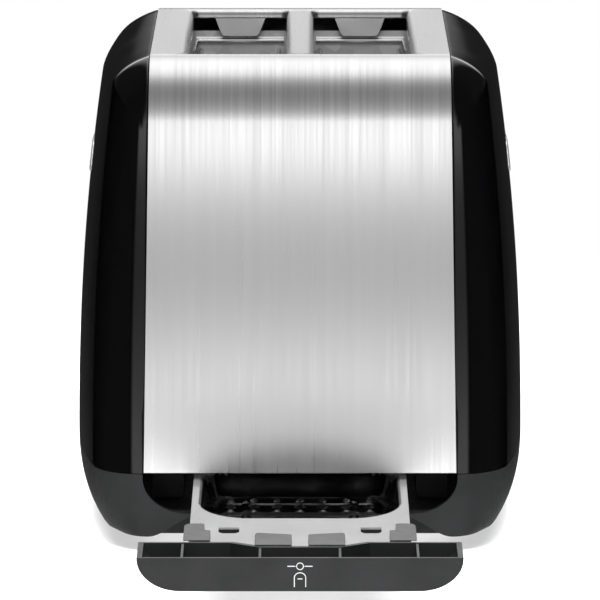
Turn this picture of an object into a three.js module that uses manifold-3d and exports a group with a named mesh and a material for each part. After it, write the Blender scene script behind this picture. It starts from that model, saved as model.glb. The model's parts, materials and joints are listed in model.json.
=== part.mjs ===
// Two-slot pop-up toaster: steel saddle cover, black side shells and a crumb tray drawn out at one end.
// Millimetres, +Z up. The tray end faces -Y and the lever end +Y; the origin is under the middle of the whole.
import * as THREE from 'three';
import * as BufferGeometryUtils from 'three/addons/utils/BufferGeometryUtils.js';
import Module from 'manifold-3d';

const wasm = await Module();
wasm.setup();

// ---------- driving dimensions ----------
const clearance = 0.3; // between pieces that touch
const runningGap = 0.6; // between pieces that slide or turn
const bodyLength = 250; // over the steel end faces
const bodyWidth = 178.6; // over the widest part of the side shells
const bodyHeight = 192.6; // top of the steel cover
const sheet = 0.8; // chassis, shield and tray steel
const coverSheet = 1.0;
const shellWall = 2.6;
const shellProud = 0.6; // side shells stand this far proud of the steel
const shellEdge = 6; // depth of their stiffening edge beside the steel
const footHeight = 5.8;
const baseHeight = 24.6; // dark base between the feet and the split line
const baseFloor = 9; // top of the base floor above its underside
const baseWall = 3;
const coverHemGap = 0.5; // steel cover's bottom edge above the split line

const stripTop = 58.5; // half width of the steel strip at the top
const stripBottom = 61; // and at its bottom edge
const bendRadius = 24; // upper bend at the tray end
const rearBendDepth = 46; // the lever end's bend is longer, along
const rearBendHeight = 24; // and down
const cornerWidth = 21; // plan corner of the shells, across
const cornerDepth = 30; // and along
const sideBow = 7.3; // how far the sides bow out past the corners
const crownWidth = 28; // rounded upper edge of the shells, across
const crownHeight = 16; // and down
const crownFullness = 1.9; // 2 is an ellipse
const skirtWidth = 12; // rounded lower edge of the base, across
const skirtHeight = 27.6; // and up
const skirtFullness = 2.2;
const sideLean = 9.9; // how far the sides lean in below the crown
const leanCurve = 2.1; // 1 leans in a straight line
const undersideRim = 15.3; // base rim around the recess below, inside the skirt
const footInset = 12; // foot centre inside the recess's long edge
const footSetback = 54; // foot centre from each end of the body
const scoopWidth = 115; // finger scoop below the tray
const scoopDepth = 9;
const scoopRoof = 1.1; // floor left above the scoop

const slotWidth = 38.4;
const slotLength = 171;
const slotBridge = 10.8; // steel between the two slots
const slotSetback = 28; // tray end face to the slots
const lipDepth = 7;

const trayPull = 183; // the tray is shown this far out
const trayLength = 212;
const trayWidth = 120.4;
const trayHeight = 12.4;
const trayBoxDepth = 36;
const trayCornerAcross = 16; // lower corners of the tray front
const trayCornerUp = 12;
const notchDepth = 10; // the middle of its back wall stands this far forward
const ribPlaces = [14.8, 43.6]; // ribs in the tray front, from its middle
const trayWall = 2;
const trayGap = 1.3; // around the tray front in its opening
const panWidth = 83;
const panFlange = 54.7; // flat sheet ahead of the dish
const panRim = 2.5; // and beside it
const dishCornerAcross = 19.5; // front corners of the dish
const dishCornerAlong = 40;
const panDepth = 11;

const leverHeight = 150; // lever arm centre with the carriage up
const leverTravel = 76;
const leverArmHeight = 12;
const leverArmThick = 3;
const knobWidth = 36;
const knobDepth = 20;
const knobHeight = 12;
const rodRadius = 3;
const blockWidth = 26;
const blockDepth = 18;
const blockHeight = 24;
const supportWidth = 9;
const guideSetback = 3.2; // toast guides inside the slot's long edges
const guideBar = 2;
const guideHeight = 126;
const guideWires = 8;

const fasciaWidth = 84;
const fasciaHeight = 130;
const fasciaThick = 3;
const dialRadius = 13;
const dialDepth = 12;
const dialHeight = 52;
const shaftRadius = 3;
const buttonWidth = 11;
const buttonHeight = 8;
const buttonProud = 2.6;
const buttonTravel = 1.5;
const buttonPitch = 14;
const badgeLength = 40;
const badgeHeight = 13;
const badgeProud = 0.6;
const badgeDrop = 50; // badge centre below the top of the body
const inletRadius = 5.5;
const inletX = -40;

// ---------- derived places ----------
const halfLength = bodyLength / 2;
const halfWidth = bodyWidth / 2;
const baseBottom = footHeight;
const baseTop = baseBottom + baseHeight;
const floorTop = baseBottom + baseFloor;
const coverBottom = baseTop + coverHemGap;
const chassisBottom = baseTop + clearance;
const chassisTop = bodyHeight - lipDepth - 1.8;
const slotFront = -halfLength + slotSetback;
const slotBack = slotFront + slotLength;
const slotInner = slotBridge / 2;
const slotOuter = slotInner + slotWidth;
const slotCentre = (slotInner + slotOuter) / 2;
const plateFront = slotFront - 2.5; // inner face of the front chassis plate
const plateBack = slotBack + 3; // inner face of the rear chassis plate
const shieldX = slotOuter + 10.5; // inner face of each heat shield
const railOverhang = 3.1; // how far each tray rail stands outside its heat shield
const trayFace = -halfLength - trayPull;
const trayBottom = floorTop + 0.9;
const trayTop = trayBottom + trayHeight;
const panTop = trayTop;
const supportTop = leverHeight - 16; // bread rests here with the carriage up
const guideFoot = supportTop - leverTravel - 6; // pivot of the toast guides
const carriageFront = plateBack + sheet + 2.4;
const rodY = carriageFront + sheet * 2 + clearance + blockDepth / 2;
const blockBottom = leverHeight - blockHeight / 2;
const fasciaBack = halfLength + clearance;
const fasciaFront = fasciaBack + fasciaThick;
const fasciaBottom = baseTop + 7;
const leverEnd = fasciaFront + 4;
const knobEnd = leverEnd + clearance + knobDepth;
const boardY = halfLength - 14; // back face of the control board
const boardThick = 1.6;
const inletFlange = 2; // the cord inlet's flange stands this far past its collar
const inletZ = floorTop + inletRadius + inletFlange + clearance;
const shelfTop = baseTop + clearance + sheet; // the mechanism's shelf lies on the tray rails

const material = {
  steel: () => new THREE.MeshStandardMaterial({ color: 0xc9cacb, roughness: 0.3, metalness: 1 }),
  gloss: () => new THREE.MeshStandardMaterial({ color: 0x060606, roughness: 0.08, metalness: 0 }),
  plastic: () => new THREE.MeshStandardMaterial({ color: 0x3a3b3d, roughness: 0.55, metalness: 0 }),
  clip: () => new THREE.MeshStandardMaterial({ color: 0x6d6e70, roughness: 0.6, metalness: 0 }),
  galvanised: () => new THREE.MeshStandardMaterial({ color: 0xb4b6b8, roughness: 0.4, metalness: 1 }),
  mica: () => new THREE.MeshStandardMaterial({ color: 0xb5a88c, roughness: 0.6, metalness: 0 }),
  ribbon: () => new THREE.MeshStandardMaterial({ color: 0x8b8783, roughness: 0.35, metalness: 1 }),
  wire: () => new THREE.MeshStandardMaterial({ color: 0xd2d3d4, roughness: 0.2, metalness: 1 }),
  rubber: () => new THREE.MeshStandardMaterial({ color: 0x18181a, roughness: 0.9, metalness: 0 }),
  board: () => new THREE.MeshStandardMaterial({ color: 0x2f5a35, roughness: 0.6, metalness: 0 }),
  copper: () => new THREE.MeshStandardMaterial({ color: 0x9c5a2b, roughness: 0.4, metalness: 1 }),
  bakelite: () => new THREE.MeshStandardMaterial({ color: 0xd8d2c4, roughness: 0.6, metalness: 0 }),
};

// ---------- solids ----------
function solid(geometry) {
  const bare = geometry.clone();
  bare.deleteAttribute('normal');
  bare.deleteAttribute('uv');
  const merged = BufferGeometryUtils.mergeVertices(bare, 1e-4);
  return new wasm.Manifold(new wasm.Mesh({
    numProp: 3,
    vertProperties: new Float32Array(merged.attributes.position.array),
    triVerts: new Uint32Array(merged.index.array),
  }));
}

function geometryOf(manifold) {
  const mesh = manifold.getMesh();
  const geometry = new THREE.BufferGeometry();
  geometry.setAttribute('position', new THREE.BufferAttribute(mesh.vertProperties, 3));
  geometry.setIndex(new THREE.BufferAttribute(mesh.triVerts, 1));
  geometry.computeVertexNormals();
  return geometry;
}

function union(parts) {
  return parts.reduce((joined, next) => joined.add(next));
}

function cut(from, tools) {
  return tools.reduce((left, next) => left.subtract(next), from);
}

// A block between two opposite corners.
function block(x0, x1, y0, y1, z0, z1) {
  const geometry = new THREE.BoxGeometry(Math.abs(x1 - x0), y1 - y0, z1 - z0);
  return solid(geometry.translate((x0 + x1) / 2, (y0 + y1) / 2, (z0 + z1) / 2));
}

// A round bar along one axis, between two values on it; a and b are its centre in the other two.
function bar(axis, radius, from, to, a, b, sides = 12) {
  const geometry = new THREE.CylinderGeometry(radius, radius, to - from, sides);
  const middle = (from + to) / 2;
  if (axis === 'x') geometry.rotateZ(Math.PI / 2).translate(middle, a, b);
  if (axis === 'y') geometry.translate(a, middle, b);
  if (axis === 'z') geometry.rotateX(Math.PI / 2).translate(a, b, middle);
  return solid(geometry);
}

// Outlines drawn in plan (x, y), from the front (x, z) or the side (y, z), made solid between two values.
function planPrism(outline, z0, z1, curveSegments = 6) {
  const geometry = new THREE.ExtrudeGeometry(outline, { depth: z1 - z0, bevelEnabled: false, curveSegments });
  return solid(geometry.translate(0, 0, z0));
}

function frontPrism(outline, y0, y1, curveSegments = 6) {
  const geometry = new THREE.ExtrudeGeometry(outline, { depth: y1 - y0, bevelEnabled: false, curveSegments });
  return solid(geometry.rotateX(Math.PI / 2).translate(0, y1, 0));
}

function sidePrism(outline, x0, x1, curveSegments = 6) {
  const geometry = new THREE.ExtrudeGeometry(outline, { depth: x1 - x0, bevelEnabled: false, curveSegments });
  return solid(geometry.rotateX(Math.PI / 2).rotateZ(Math.PI / 2).translate(x0, 0, 0));
}

function polygon(points) {
  return new THREE.Shape(points.map(([u, v]) => new THREE.Vector2(u, v)));
}

function roundedRect(u0, u1, v0, v1, r) {
  const outline = new THREE.Shape();
  outline.moveTo(u0 + r, v0);
  outline.lineTo(u1 - r, v0);
  outline.absarc(u1 - r, v0 + r, r, -Math.PI / 2, 0);
  outline.lineTo(u1, v1 - r);
  outline.absarc(u1 - r, v1 - r, r, 0, Math.PI / 2);
  outline.lineTo(u0 + r, v1);
  outline.absarc(u0 + r, v1 - r, r, Math.PI / 2, Math.PI);
  outline.lineTo(u0, v0 + r);
  outline.absarc(u0 + r, v0 + r, r, Math.PI, Math.PI * 1.5);
  return outline;
}

// A trough seen from the front: flat top, upright sides and elliptical lower corners.
function troughOutline(halfSpan, bottom, top, cornerAcross, cornerUp) {
  const outline = new THREE.Shape();
  outline.moveTo(halfSpan, top);
  outline.lineTo(-halfSpan, top);
  outline.lineTo(-halfSpan, bottom + cornerUp);
  const centre = halfSpan - cornerAcross;
  outline.absellipse(-centre, bottom + cornerUp, cornerAcross, cornerUp, Math.PI, Math.PI * 1.5);
  outline.lineTo(centre, bottom);
  outline.absellipse(centre, bottom + cornerUp, cornerAcross, cornerUp, -Math.PI / 2, 0);
  return outline;
}

// ---------- outer form ----------
const skirtTop = baseBottom + skirtHeight;
const crownBottom = bodyHeight + shellProud / 2 - crownHeight;

// The other leg of a rounded corner of unit size, whose one leg is share.
function roundedLeg(share, fullness) {
  return (1 - share ** fullness) ** (1 / fullness);
}

// Half width of the whole at a height: rounded skirt, leaning sides, rounded crown.
function halfWidthAt(z) {
  if (z < skirtTop) {
    const fall = Math.min(1, (skirtTop - z) / skirtHeight);
    return halfWidth - skirtWidth + skirtWidth * roundedLeg(fall, skirtFullness);
  }
  const rise = Math.min(1, (z - skirtTop) / (crownBottom - skirtTop));
  const leaning = halfWidth - sideLean * rise ** leanCurve;
  if (z <= crownBottom) return leaning;
  const climb = Math.min(1, (z - crownBottom) / crownHeight);
  return leaning - crownWidth + crownWidth * roundedLeg(climb, crownFullness);
}

// Heights at which the outer form is drawn, closest together where it turns in.
function formHeights() {
  const skirt = [0, 1, 2, 3, 4].map((i) => skirtTop - skirtHeight * Math.cos(i * Math.PI / 10));
  const sides = [0, 1, 2, 3].map((i) => skirtTop + (crownBottom - skirtTop) * i / 4);
  const crown = [0, 1, 2, 3, 4, 5, 6].map((i) => crownBottom + crownHeight * Math.sin(i * Math.PI / 12));
  return [...skirt, ...sides, ...crown];
}

// Plan outline: flat ends as wide as the steel strip, elliptical corners, gently bowed sides.
function planOutline(inset) {
  const end = halfLength + shellProud - inset;
  const turn = THREE.MathUtils.degToRad(10);
  const across = cornerWidth - inset / 2;
  const along = cornerDepth - inset;
  const cornerX = halfWidth - sideBow - cornerWidth - inset / 2;
  const sideX = cornerX + across * Math.cos(turn);
  const bowX = 2 * (halfWidth - inset) - sideX;
  const outline = new THREE.Shape();
  outline.moveTo(-cornerX, -end);
  outline.lineTo(cornerX, -end);
  outline.absellipse(cornerX, -end + along, across, along, -Math.PI / 2, -turn);
  outline.quadraticCurveTo(bowX, 0, sideX, end - along + along * Math.sin(turn));
  outline.absellipse(cornerX, end - along, across, along, turn, Math.PI / 2);
  outline.lineTo(-cornerX, end);
  outline.absellipse(-cornerX, end - along, across, along, Math.PI / 2, Math.PI - turn);
  outline.quadraticCurveTo(-bowX, 0, -sideX, -end + along - along * Math.sin(turn));
  outline.absellipse(-cornerX, -end + along, across, along, Math.PI + turn, Math.PI * 1.5);
  return outline;
}

// Side outline of the saddle: upright ends, a round bend at each and a flat top.
function saddleOutline(inset, bottom) {
  const end = halfLength - inset;
  const top = bodyHeight - inset;
  const radius = bendRadius - inset;
  const along = rearBendDepth - inset;
  const down = rearBendHeight - inset;
  const outline = new THREE.Shape();
  outline.moveTo(-end, bottom);
  outline.lineTo(end, bottom);
  outline.lineTo(end, top - down);
  outline.absellipse(end - along, top - down, along, down, 0, Math.PI / 2);
  outline.lineTo(-end + radius, top);
  outline.absarc(-end + radius, top - radius, radius, Math.PI / 2, Math.PI);
  return outline;
}

// The outer form, or a smaller copy of it inside by inset: the plan outline drawn up through the height.
function bodyForm(inset) {
  const bottom = baseBottom + Math.max(0, inset);
  const top = bodyHeight + shellProud - inset;
  const heights = formHeights();
  const steps = heights.length - 1;
  const geometry = new THREE.ExtrudeGeometry(planOutline(inset), {
    depth: 1, steps, bevelEnabled: false, curveSegments: 4,
  });
  const position = geometry.attributes.position;
  const fixed = stripTop - 2; // the middle keeps its width, the sides follow the height
  for (let i = 0; i < position.count; i += 1) {
    const height = heights[Math.round(position.getZ(i) * steps)];
    const share = (height - heights[0]) / (heights[steps] - heights[0]);
    const z = bottom + (top - bottom) * share;
    const x = position.getX(i);
    const spare = Math.abs(x) - fixed;
    const span = halfWidth - inset - fixed;
    const wanted = halfWidthAt(z + inset * Math.min(1, Math.max(0, z / bodyHeight))) - inset - fixed;
    if (spare > 0) position.setX(i, Math.sign(x) * (fixed + spare * Math.max(0.02, wanted / span)));
    position.setZ(i, z);
  }
  return solid(geometry).intersect(sidePrism(saddleOutline(inset - shellProud, 0), -bodyWidth, bodyWidth, 4));
}

function stripHalfAt(z) {
  return stripTop + (stripBottom - stripTop) * (bodyHeight - z) / (bodyHeight - coverBottom);
}

// ---------- steel cover ----------
function slotOutline(side, grow) {
  const centre = side * slotCentre;
  const half = slotWidth / 2 + grow;
  return roundedRect(centre - half, centre + half, slotFront - grow, slotBack + grow, 3);
}

// A tongue hanging from a slot's end, waisted above its foot.
function tongueOutline(centre) {
  const z = bodyHeight - coverSheet / 2;
  return polygon([[centre - 11, z], [centre - 7.6, z - 6.4], [centre - 9, z - 8], [centre + 9, z - 8],
    [centre + 7.6, z - 6.4], [centre + 11, z]]);
}

function steelCover() {
  const strip = polygon([[-stripHalfAt(coverBottom), coverBottom], [stripHalfAt(coverBottom), coverBottom],
    [stripTop, bodyHeight], [-stripTop, bodyHeight]]);
  let cover = sidePrism(saddleOutline(0, coverBottom), -bodyWidth, bodyWidth);
  cover = cover.subtract(sidePrism(saddleOutline(coverSheet, 0), -bodyWidth, bodyWidth));
  cover = cover.intersect(frontPrism(strip, -bodyLength, bodyLength));
  const lipTop = bodyHeight - coverSheet / 2;
  for (const side of [-1, 1]) {
    const edges = [side * slotCentre - slotWidth / 2, side * slotCentre + slotWidth / 2];
    cover = cover.subtract(planPrism(slotOutline(side, 0), chassisTop, bodyHeight + 1, 2));
    for (const [edge, away] of [[edges[0], -1], [edges[1], 1]]) {
      const lip = block(edge, edge + away * coverSheet, slotFront + 4, slotBack - 4, lipTop - lipDepth, lipTop);
      cover = cover.add(lip);
    }
    const tongue = tongueOutline(side * slotCentre);
    cover = cover.add(frontPrism(tongue, slotFront - coverSheet, slotFront));
    cover = cover.add(frontPrism(tongue, slotBack, slotBack + coverSheet));
  }
  return cut(cover, controlHoles(halfLength - coverSheet * 2, halfLength + 1));
}

// Holes through the lever end for the lever, the dial's shaft and the buttons.
function controlHoles(y0, y1) {
  const slack = leverArmHeight / 2 + 2;
  const leverSlot = block(-leverArmThick / 2 - 2, leverArmThick / 2 + 2, y0, y1,
    leverHeight - leverTravel - slack, leverHeight + slack);
  const dialHole = bar('y', shaftRadius + runningGap, y0, y1, 0, dialHeight);
  const buttonHoles = buttonPlaces().map((x) => buttonPrism(x, runningGap, y0, y1));
  return [leverSlot, dialHole, ...buttonHoles];
}

function buttonPlaces() {
  const first = dialRadius + buttonWidth / 2 + 3;
  return [-first - buttonPitch, -first, first, first + buttonPitch];
}

function buttonPrism(x, grow, y0, y1) {
  const w = buttonWidth / 2 + grow;
  const h = buttonHeight / 2 + grow;
  return frontPrism(roundedRect(x - w, x + w, dialHeight - h, dialHeight + h, 2.5), y0, y1, 1);
}

// ---------- side shells and badges ----------
function sideRegion(side, gap, bottom) {
  const top = bodyHeight + 10;
  const region = polygon([[side * (stripHalfAt(bottom) + gap), bottom], [side * bodyWidth, bottom],
    [side * bodyWidth, top], [side * (stripHalfAt(top) + gap), top]]);
  return frontPrism(region, -bodyLength, bodyLength);
}

function sideShell(side) {
  const bottom = baseTop + clearance;
  const region = sideRegion(side, clearance, bottom);
  const skin = bodyForm(0).subtract(bodyForm(shellWall)).intersect(region);
  const edge = bodyForm(0).subtract(bodyForm(shellEdge)).intersect(region);
  return skin.add(edge.subtract(sideRegion(side, clearance + shellWall, 0)));
}

function badge(side) {
  const z = bodyHeight - badgeDrop;
  const outline = roundedRect(-badgeLength / 2, badgeLength / 2, z - badgeHeight / 2, z + badgeHeight / 2, 4);
  const reach = sidePrism(outline, side > 0 ? 0 : -bodyWidth, side > 0 ? bodyWidth : 0, 2);
  return bodyForm(-badgeProud - clearance).subtract(bodyForm(-clearance)).intersect(reach);
}

// ---------- base ----------
function baseTub() {
  const slab = (z0, z1) => block(-bodyWidth, bodyWidth, -bodyLength, bodyLength, z0, z1);
  let tub = bodyForm(0).intersect(slab(baseBottom, baseTop));
  tub = tub.subtract(bodyForm(baseWall).intersect(slab(floorTop, baseTop + 1)));
  tub = tub.subtract(planPrism(undersideOutline(0), baseBottom - 1, floorTop - baseWall, 3));
  const opening = troughOutline(trayWidth / 2 + trayGap, floorTop, baseTop + 1, 18, 14);
  tub = tub.subtract(frontPrism(opening, -bodyLength, -halfLength + baseWall * 3));
  tub = tub.subtract(frontPrism(scoopOutline(), -bodyLength, -halfLength + scoopDepth, 6));
  for (const side of [-1, 1]) {
    const runner = block(side * 27, side * 30, -halfLength + trayBoxDepth + 2, halfLength - 25, floorTop - 0.5,
      panTop - panDepth - clearance);
    tub = tub.add(runner);
  }
  return tub.subtract(bar('y', inletRadius + clearance, halfLength - 12, halfLength + 5, inletX, inletZ));
}

// The finger scoop below the tray, seen from the front: an arch with a flat roof.
function scoopOutline() {
  const half = scoopWidth / 2;
  const across = 15.5;
  const up = baseFloor - scoopRoof;
  const outline = new THREE.Shape();
  outline.moveTo(-half, baseBottom - 1);
  outline.lineTo(half, baseBottom - 1);
  outline.absellipse(half - across, baseBottom, across, up, 0, Math.PI / 2);
  outline.absellipse(-half + across, baseBottom, across, up, Math.PI / 2, Math.PI);
  return outline;
}

const undersideHalf = halfWidth - skirtWidth - undersideRim;

function undersideOutline(inset) {
  const half = undersideHalf - inset;
  const end = halfLength - 20 - inset;
  return roundedRect(-half, half, -end, end, 14);
}

function bottomPlate() {
  const plate = planPrism(undersideOutline(clearance), baseBottom + 1, baseBottom + 1 + sheet, 3);
  const vents = [];
  for (let row = -3; row <= 3; row += 1) {
    vents.push(block(-30, 30, row * 18 - 2, row * 18 + 2, baseBottom, baseBottom + 3));
  }
  return cut(plate, [...vents, ...footPlaces().map(([x, y]) => bar('z', 2.4, 0, baseTop, x, y, 8))]);
}

function footPlaces() {
  const x = undersideHalf - footInset;
  const y = halfLength - footSetback;
  return [[-x, -y], [x, -y], [-x, y], [x, y]];
}

function foot([x, y]) {
  const pad = bar('z', 8, 0, baseBottom + 1 - clearance, x, y, 16);
  return pad.add(bar('z', 2, footHeight - 1, baseBottom + 1 + sheet + 2.5, x, y, 8));
}

function cordInlet() {
  const collar = bar('y', inletRadius, halfLength - 8, halfLength + 1.2, inletX, inletZ, 20);
  const flange = bar('y', inletRadius + inletFlange, halfLength - 8, halfLength - 4.5, inletX, inletZ, 20);
  return collar.add(flange).subtract(bar('y', 3.6, halfLength - 9, halfLength + 2, inletX, inletZ, 16));
}

function trayRail(side) {
  const inner = side * (panWidth / 2 + 4.5);
  const outer = side * (shieldX + sheet + railOverhang);
  const front = -halfLength + trayBoxDepth + 2;
  const back = halfLength - 20;
  const rail = block(inner, outer, front, back, floorTop + clearance, baseTop);
  const lightening = block(inner + side * 3, outer + side, front + 4, back - 4, floorTop + 3, baseTop - 3);
  return rail.subtract(lightening);
}

// ---------- chassis ----------
// Keeps a piece inside the side shells and their stiffening edges.
function inShells(piece) {
  return piece.intersect(bodyForm(shellEdge + clearance));
}

function hem(y0, y1) {
  return block(-shieldX - sheet, shieldX + sheet, y0, y1, chassisTop - 2, chassisTop);
}

function guidePivots() {
  const inner = slotInner + guideSetback;
  const outer = slotOuter - guideSetback;
  return [-outer, -inner, inner, outer];
}

function pivotHoles(y0, y1) {
  return guidePivots().map((x) => bar('y', guideBar / 2 + runningGap, y0, y1, x, guideFoot));
}

function chassisPlate(y0, y1) {
  return block(-shieldX - sheet, shieldX + sheet, y0, y1, chassisBottom, chassisTop);
}

function chassisFront() {
  const plate = chassisPlate(plateFront - sheet, plateFront);
  const pivots = pivotHoles(plateFront - 2, plateFront + 1);
  return cut(inShells(plate.add(hem(plateFront - sheet * 3, plateFront - sheet))), pivots);
}

function chassisRear() {
  const back = plateBack + sheet;
  const plate = chassisPlate(plateBack, back);
  const pivots = pivotHoles(plateBack - 1, plateBack + 2);
  const centres = [-slotCentre, slotCentre];
  const slots = centres.map((x) => block(x - 1.8, x + 1.8, plateBack - 1, back + 1,
    supportTop - leverTravel - 14, supportTop + 4));
  return cut(inShells(plate.add(hem(back, back + sheet * 2))), [...pivots, ...slots]);
}

function heatShield(side) {
  const inside = side * shieldX;
  const front = plateFront + clearance;
  const back = plateBack - clearance;
  const wall = block(inside, inside + side * sheet, front, back, chassisBottom, chassisTop);
  const reach = side * (slotOuter + coverSheet + clearance);
  return inShells(wall.add(block(reach, inside + side * sheet, front, back, chassisTop - sheet, chassisTop)));
}

const cardThick = 0.8;
const cardBottom = guideFoot + 4;
const cardTop = chassisTop - 5;

function heaterCard(x) {
  const half = cardThick / 2;
  return block(x - half, x + half, plateFront + clearance, plateBack - clearance, cardBottom, cardTop);
}

// Heating ribbon on one face of a card: rows joined at alternate ends.
function heaterRibbon(x, facing) {
  const inner = x + facing * (cardThick / 2 + clearance / 2);
  const outer = inner + facing * 0.6;
  const front = plateFront + 10;
  const back = plateBack - 10;
  const rows = 9;
  const rowHeight = 2.4;
  const pitch = (cardTop - cardBottom - 16) / (rows - 1);
  const parts = [];
  for (let row = 0; row < rows; row += 1) {
    const z = cardBottom + 8 + row * pitch;
    parts.push(block(inner, outer, front, back, z - rowHeight / 2, z + rowHeight / 2));
    if (row < rows - 1) {
      const end = row % 2 === 0 ? back : front + rowHeight;
      parts.push(block(inner, outer, end - rowHeight, end, z, z + pitch));
    }
  }
  return union(parts);
}

// ---------- toast guides ----------
function toastGuide(x) {
  const r = guideBar / 2;
  const front = slotFront + 6;
  const back = slotBack - 6;
  const parts = [bar('y', r, plateFront - sheet - 1, plateBack + sheet + 1, x, guideFoot, 6)];
  for (const z of [guideFoot + guideHeight * 0.45, guideFoot + guideHeight - r]) {
    parts.push(bar('y', r, front, back, x, z, 6));
  }
  for (let i = 0; i < guideWires; i += 1) {
    const y = front + r * 3 + (back - front - r * 6) * i / (guideWires - 1);
    parts.push(bar('z', r * 0.8, guideFoot, guideFoot + guideHeight - r, x, y, 5));
  }
  return union(parts);
}

// ---------- carriage and lever ----------
function breadSupport(side) {
  const x = side * slotCentre;
  const end = carriageFront - clearance;
  const web = block(x - sheet / 2, x + sheet / 2, slotFront + 4, end, supportTop - 12, supportTop - sheet / 2);
  const strip = block(x - supportWidth / 2, x + supportWidth / 2, slotFront + 4, slotBack - 4,
    supportTop - sheet, supportTop);
  const notches = [];
  for (let y = slotFront + 14; y < slotBack - 10; y += 14) {
    for (const away of [-1, 1]) {
      const edge = x + away * supportWidth / 2;
      notches.push(block(edge - away * 2.4, edge + away, y - 3, y + 3, supportTop - 2, supportTop + 1));
    }
  }
  return cut(web.add(strip), notches);
}

function carriagePlate() {
  const half = slotCentre + 6;
  return block(-half, half, carriageFront, carriageFront + sheet * 2, supportTop - 12, supportTop + 10);
}

function carriageBlock() {
  const front = rodY - blockDepth / 2;
  const back = rodY + blockDepth / 2;
  const main = block(-blockWidth / 2, blockWidth / 2, front, back, blockBottom, blockBottom + blockHeight);
  const ear = block(blockWidth / 2 - 1, springX + 4, rodY - 4, rodY + 4, blockBottom, blockBottom + 4);
  return main.add(ear).subtract(bar('z', rodRadius + runningGap, 0, bodyHeight, 0, rodY));
}

const springX = blockWidth / 2 + 8;
const rodTop = chassisTop - 10;
const springTop = rodTop - 4 - clearance;

function liftSpring() {
  const turns = 7;
  const radius = 3.4;
  const bottom = blockBottom + 4 + clearance + 0.7;
  const height = springTop - 0.7 - bottom;
  const points = [];
  const stepsPerTurn = 8;
  for (let i = 0; i <= turns * stepsPerTurn; i += 1) {
    const angle = i * 2 * Math.PI / stepsPerTurn;
    const z = bottom + height * i / (turns * stepsPerTurn);
    points.push(new THREE.Vector3(springX + radius * Math.cos(angle), rodY + radius * Math.sin(angle), z));
  }
  const section = new THREE.Shape().absarc(0, 0, 0.6, 0, Math.PI * 2);
  return solid(new THREE.ExtrudeGeometry(section, {
    steps: points.length - 1,
    extrudePath: new THREE.CatmullRomCurve3(points),
    curveSegments: 3,
    bevelEnabled: false,
  }));
}

function guideRod() {
  return bar('z', rodRadius, shelfTop + clearance, rodTop - 4 - clearance, 0, rodY);
}

// Bracket from the rear chassis plate that holds the top of the rod and of the spring.
function rodBracket() {
  const back = plateBack + sheet + clearance;
  const shelf = block(-14, springX + 6, back, rodY + 10, rodTop - 4, rodTop);
  return shelf.add(block(-14, springX + 6, back, back + sheet * 1.5, rodTop - 4, rodTop + 6));
}

function leverArm() {
  const start = rodY + blockDepth / 2 + clearance;
  const half = leverArmThick / 2;
  const reach = leverArmHeight / 2;
  return block(-half, half, start, leverEnd, leverHeight - reach, leverHeight + reach);
}

function leverKnob() {
  const outline = roundedRect(-knobWidth / 2, knobWidth / 2, leverEnd + clearance, knobEnd, 6);
  const crown = new THREE.Shape().absellipse(leverEnd + knobDepth / 2, leverHeight, knobDepth * 0.62,
    knobHeight / 2, 0, Math.PI * 2);
  return planPrism(outline, leverHeight - knobHeight / 2, leverHeight + knobHeight / 2, 4)
    .intersect(sidePrism(crown, -knobWidth, knobWidth, 8));
}

function armature() {
  const top = blockBottom - clearance;
  return block(-10, 10, rodY - 7, rodY + 7, top - 2.4, top)
    .subtract(bar('z', rodRadius + runningGap, 0, bodyHeight, 0, rodY));
}

// ---------- latch magnet and electrics ----------
function mechanismShelf() {
  const half = panWidth / 2 + 10;
  return block(-half, half, plateBack + sheet + clearance, boardY - 4, shelfTop - sheet, shelfTop);
}

const magnetX = 6.4;
const magnetTop = blockBottom - clearance - 2.4 - leverTravel - clearance;

function magnetCore() {
  const bottom = shelfTop + clearance;
  const legs = [-magnetX, magnetX].map((x) => block(x - 2, x + 2, rodY - 5, rodY + 5, bottom, magnetTop));
  const yoke = block(-magnetX - 2, magnetX + 2, rodY - 5, rodY + 5, bottom, bottom + 3);
  return union([yoke, ...legs]).subtract(bar('z', rodRadius + clearance, 0, bodyHeight, 0, rodY));
}

function magnetCoil(side) {
  const x = side * magnetX;
  const top = magnetTop - 3;
  const winding = block(x + side * (2 + clearance), x + side * 6, rodY - 8, rodY + 8, shelfTop + 4, top);
  return winding;
}

function terminalBlock() {
  const y = rodY + 2;
  const housing = block(inletX - 8, inletX + 12, y - 8, y + 8, shelfTop + clearance, shelfTop + 13);
  const holes = [-1, 0, 1].map((i) => bar('z', 1.8, shelfTop + 7, shelfTop + 14, inletX + 2 + i * 6, y));
  return cut(housing, holes);
}

function controlBoard() {
  const board = block(-44, 44, boardY, boardY + boardThick, dialHeight - 13, dialHeight + 11);
  const switches = buttonPlaces().map((x) => block(x - 3, x + 3, boardY + 1, boardY + boardThick + 3,
    dialHeight - 3, dialHeight + 3));
  const posts = [];
  for (const x of [-41, 41]) {
    for (const z of [dialHeight - 10, dialHeight + 8]) {
      posts.push(bar('y', 2.4, boardY + 1, halfLength - coverSheet - clearance, x, z, 8));
    }
  }
  return union([board, ...switches, ...posts]);
}

function browningPot() {
  const y = boardY + boardThick + clearance;
  return bar('y', 8, y, y + 4.5, 0, dialHeight, 16);
}

// ---------- lever end ----------
function controlFascia() {
  const half = fasciaWidth / 2;
  const outline = roundedRect(-half, half, fasciaBottom, fasciaBottom + fasciaHeight, 10);
  return cut(frontPrism(outline, fasciaBack, fasciaFront, 3), controlHoles(fasciaBack - 1, fasciaFront + 1));
}

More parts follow.
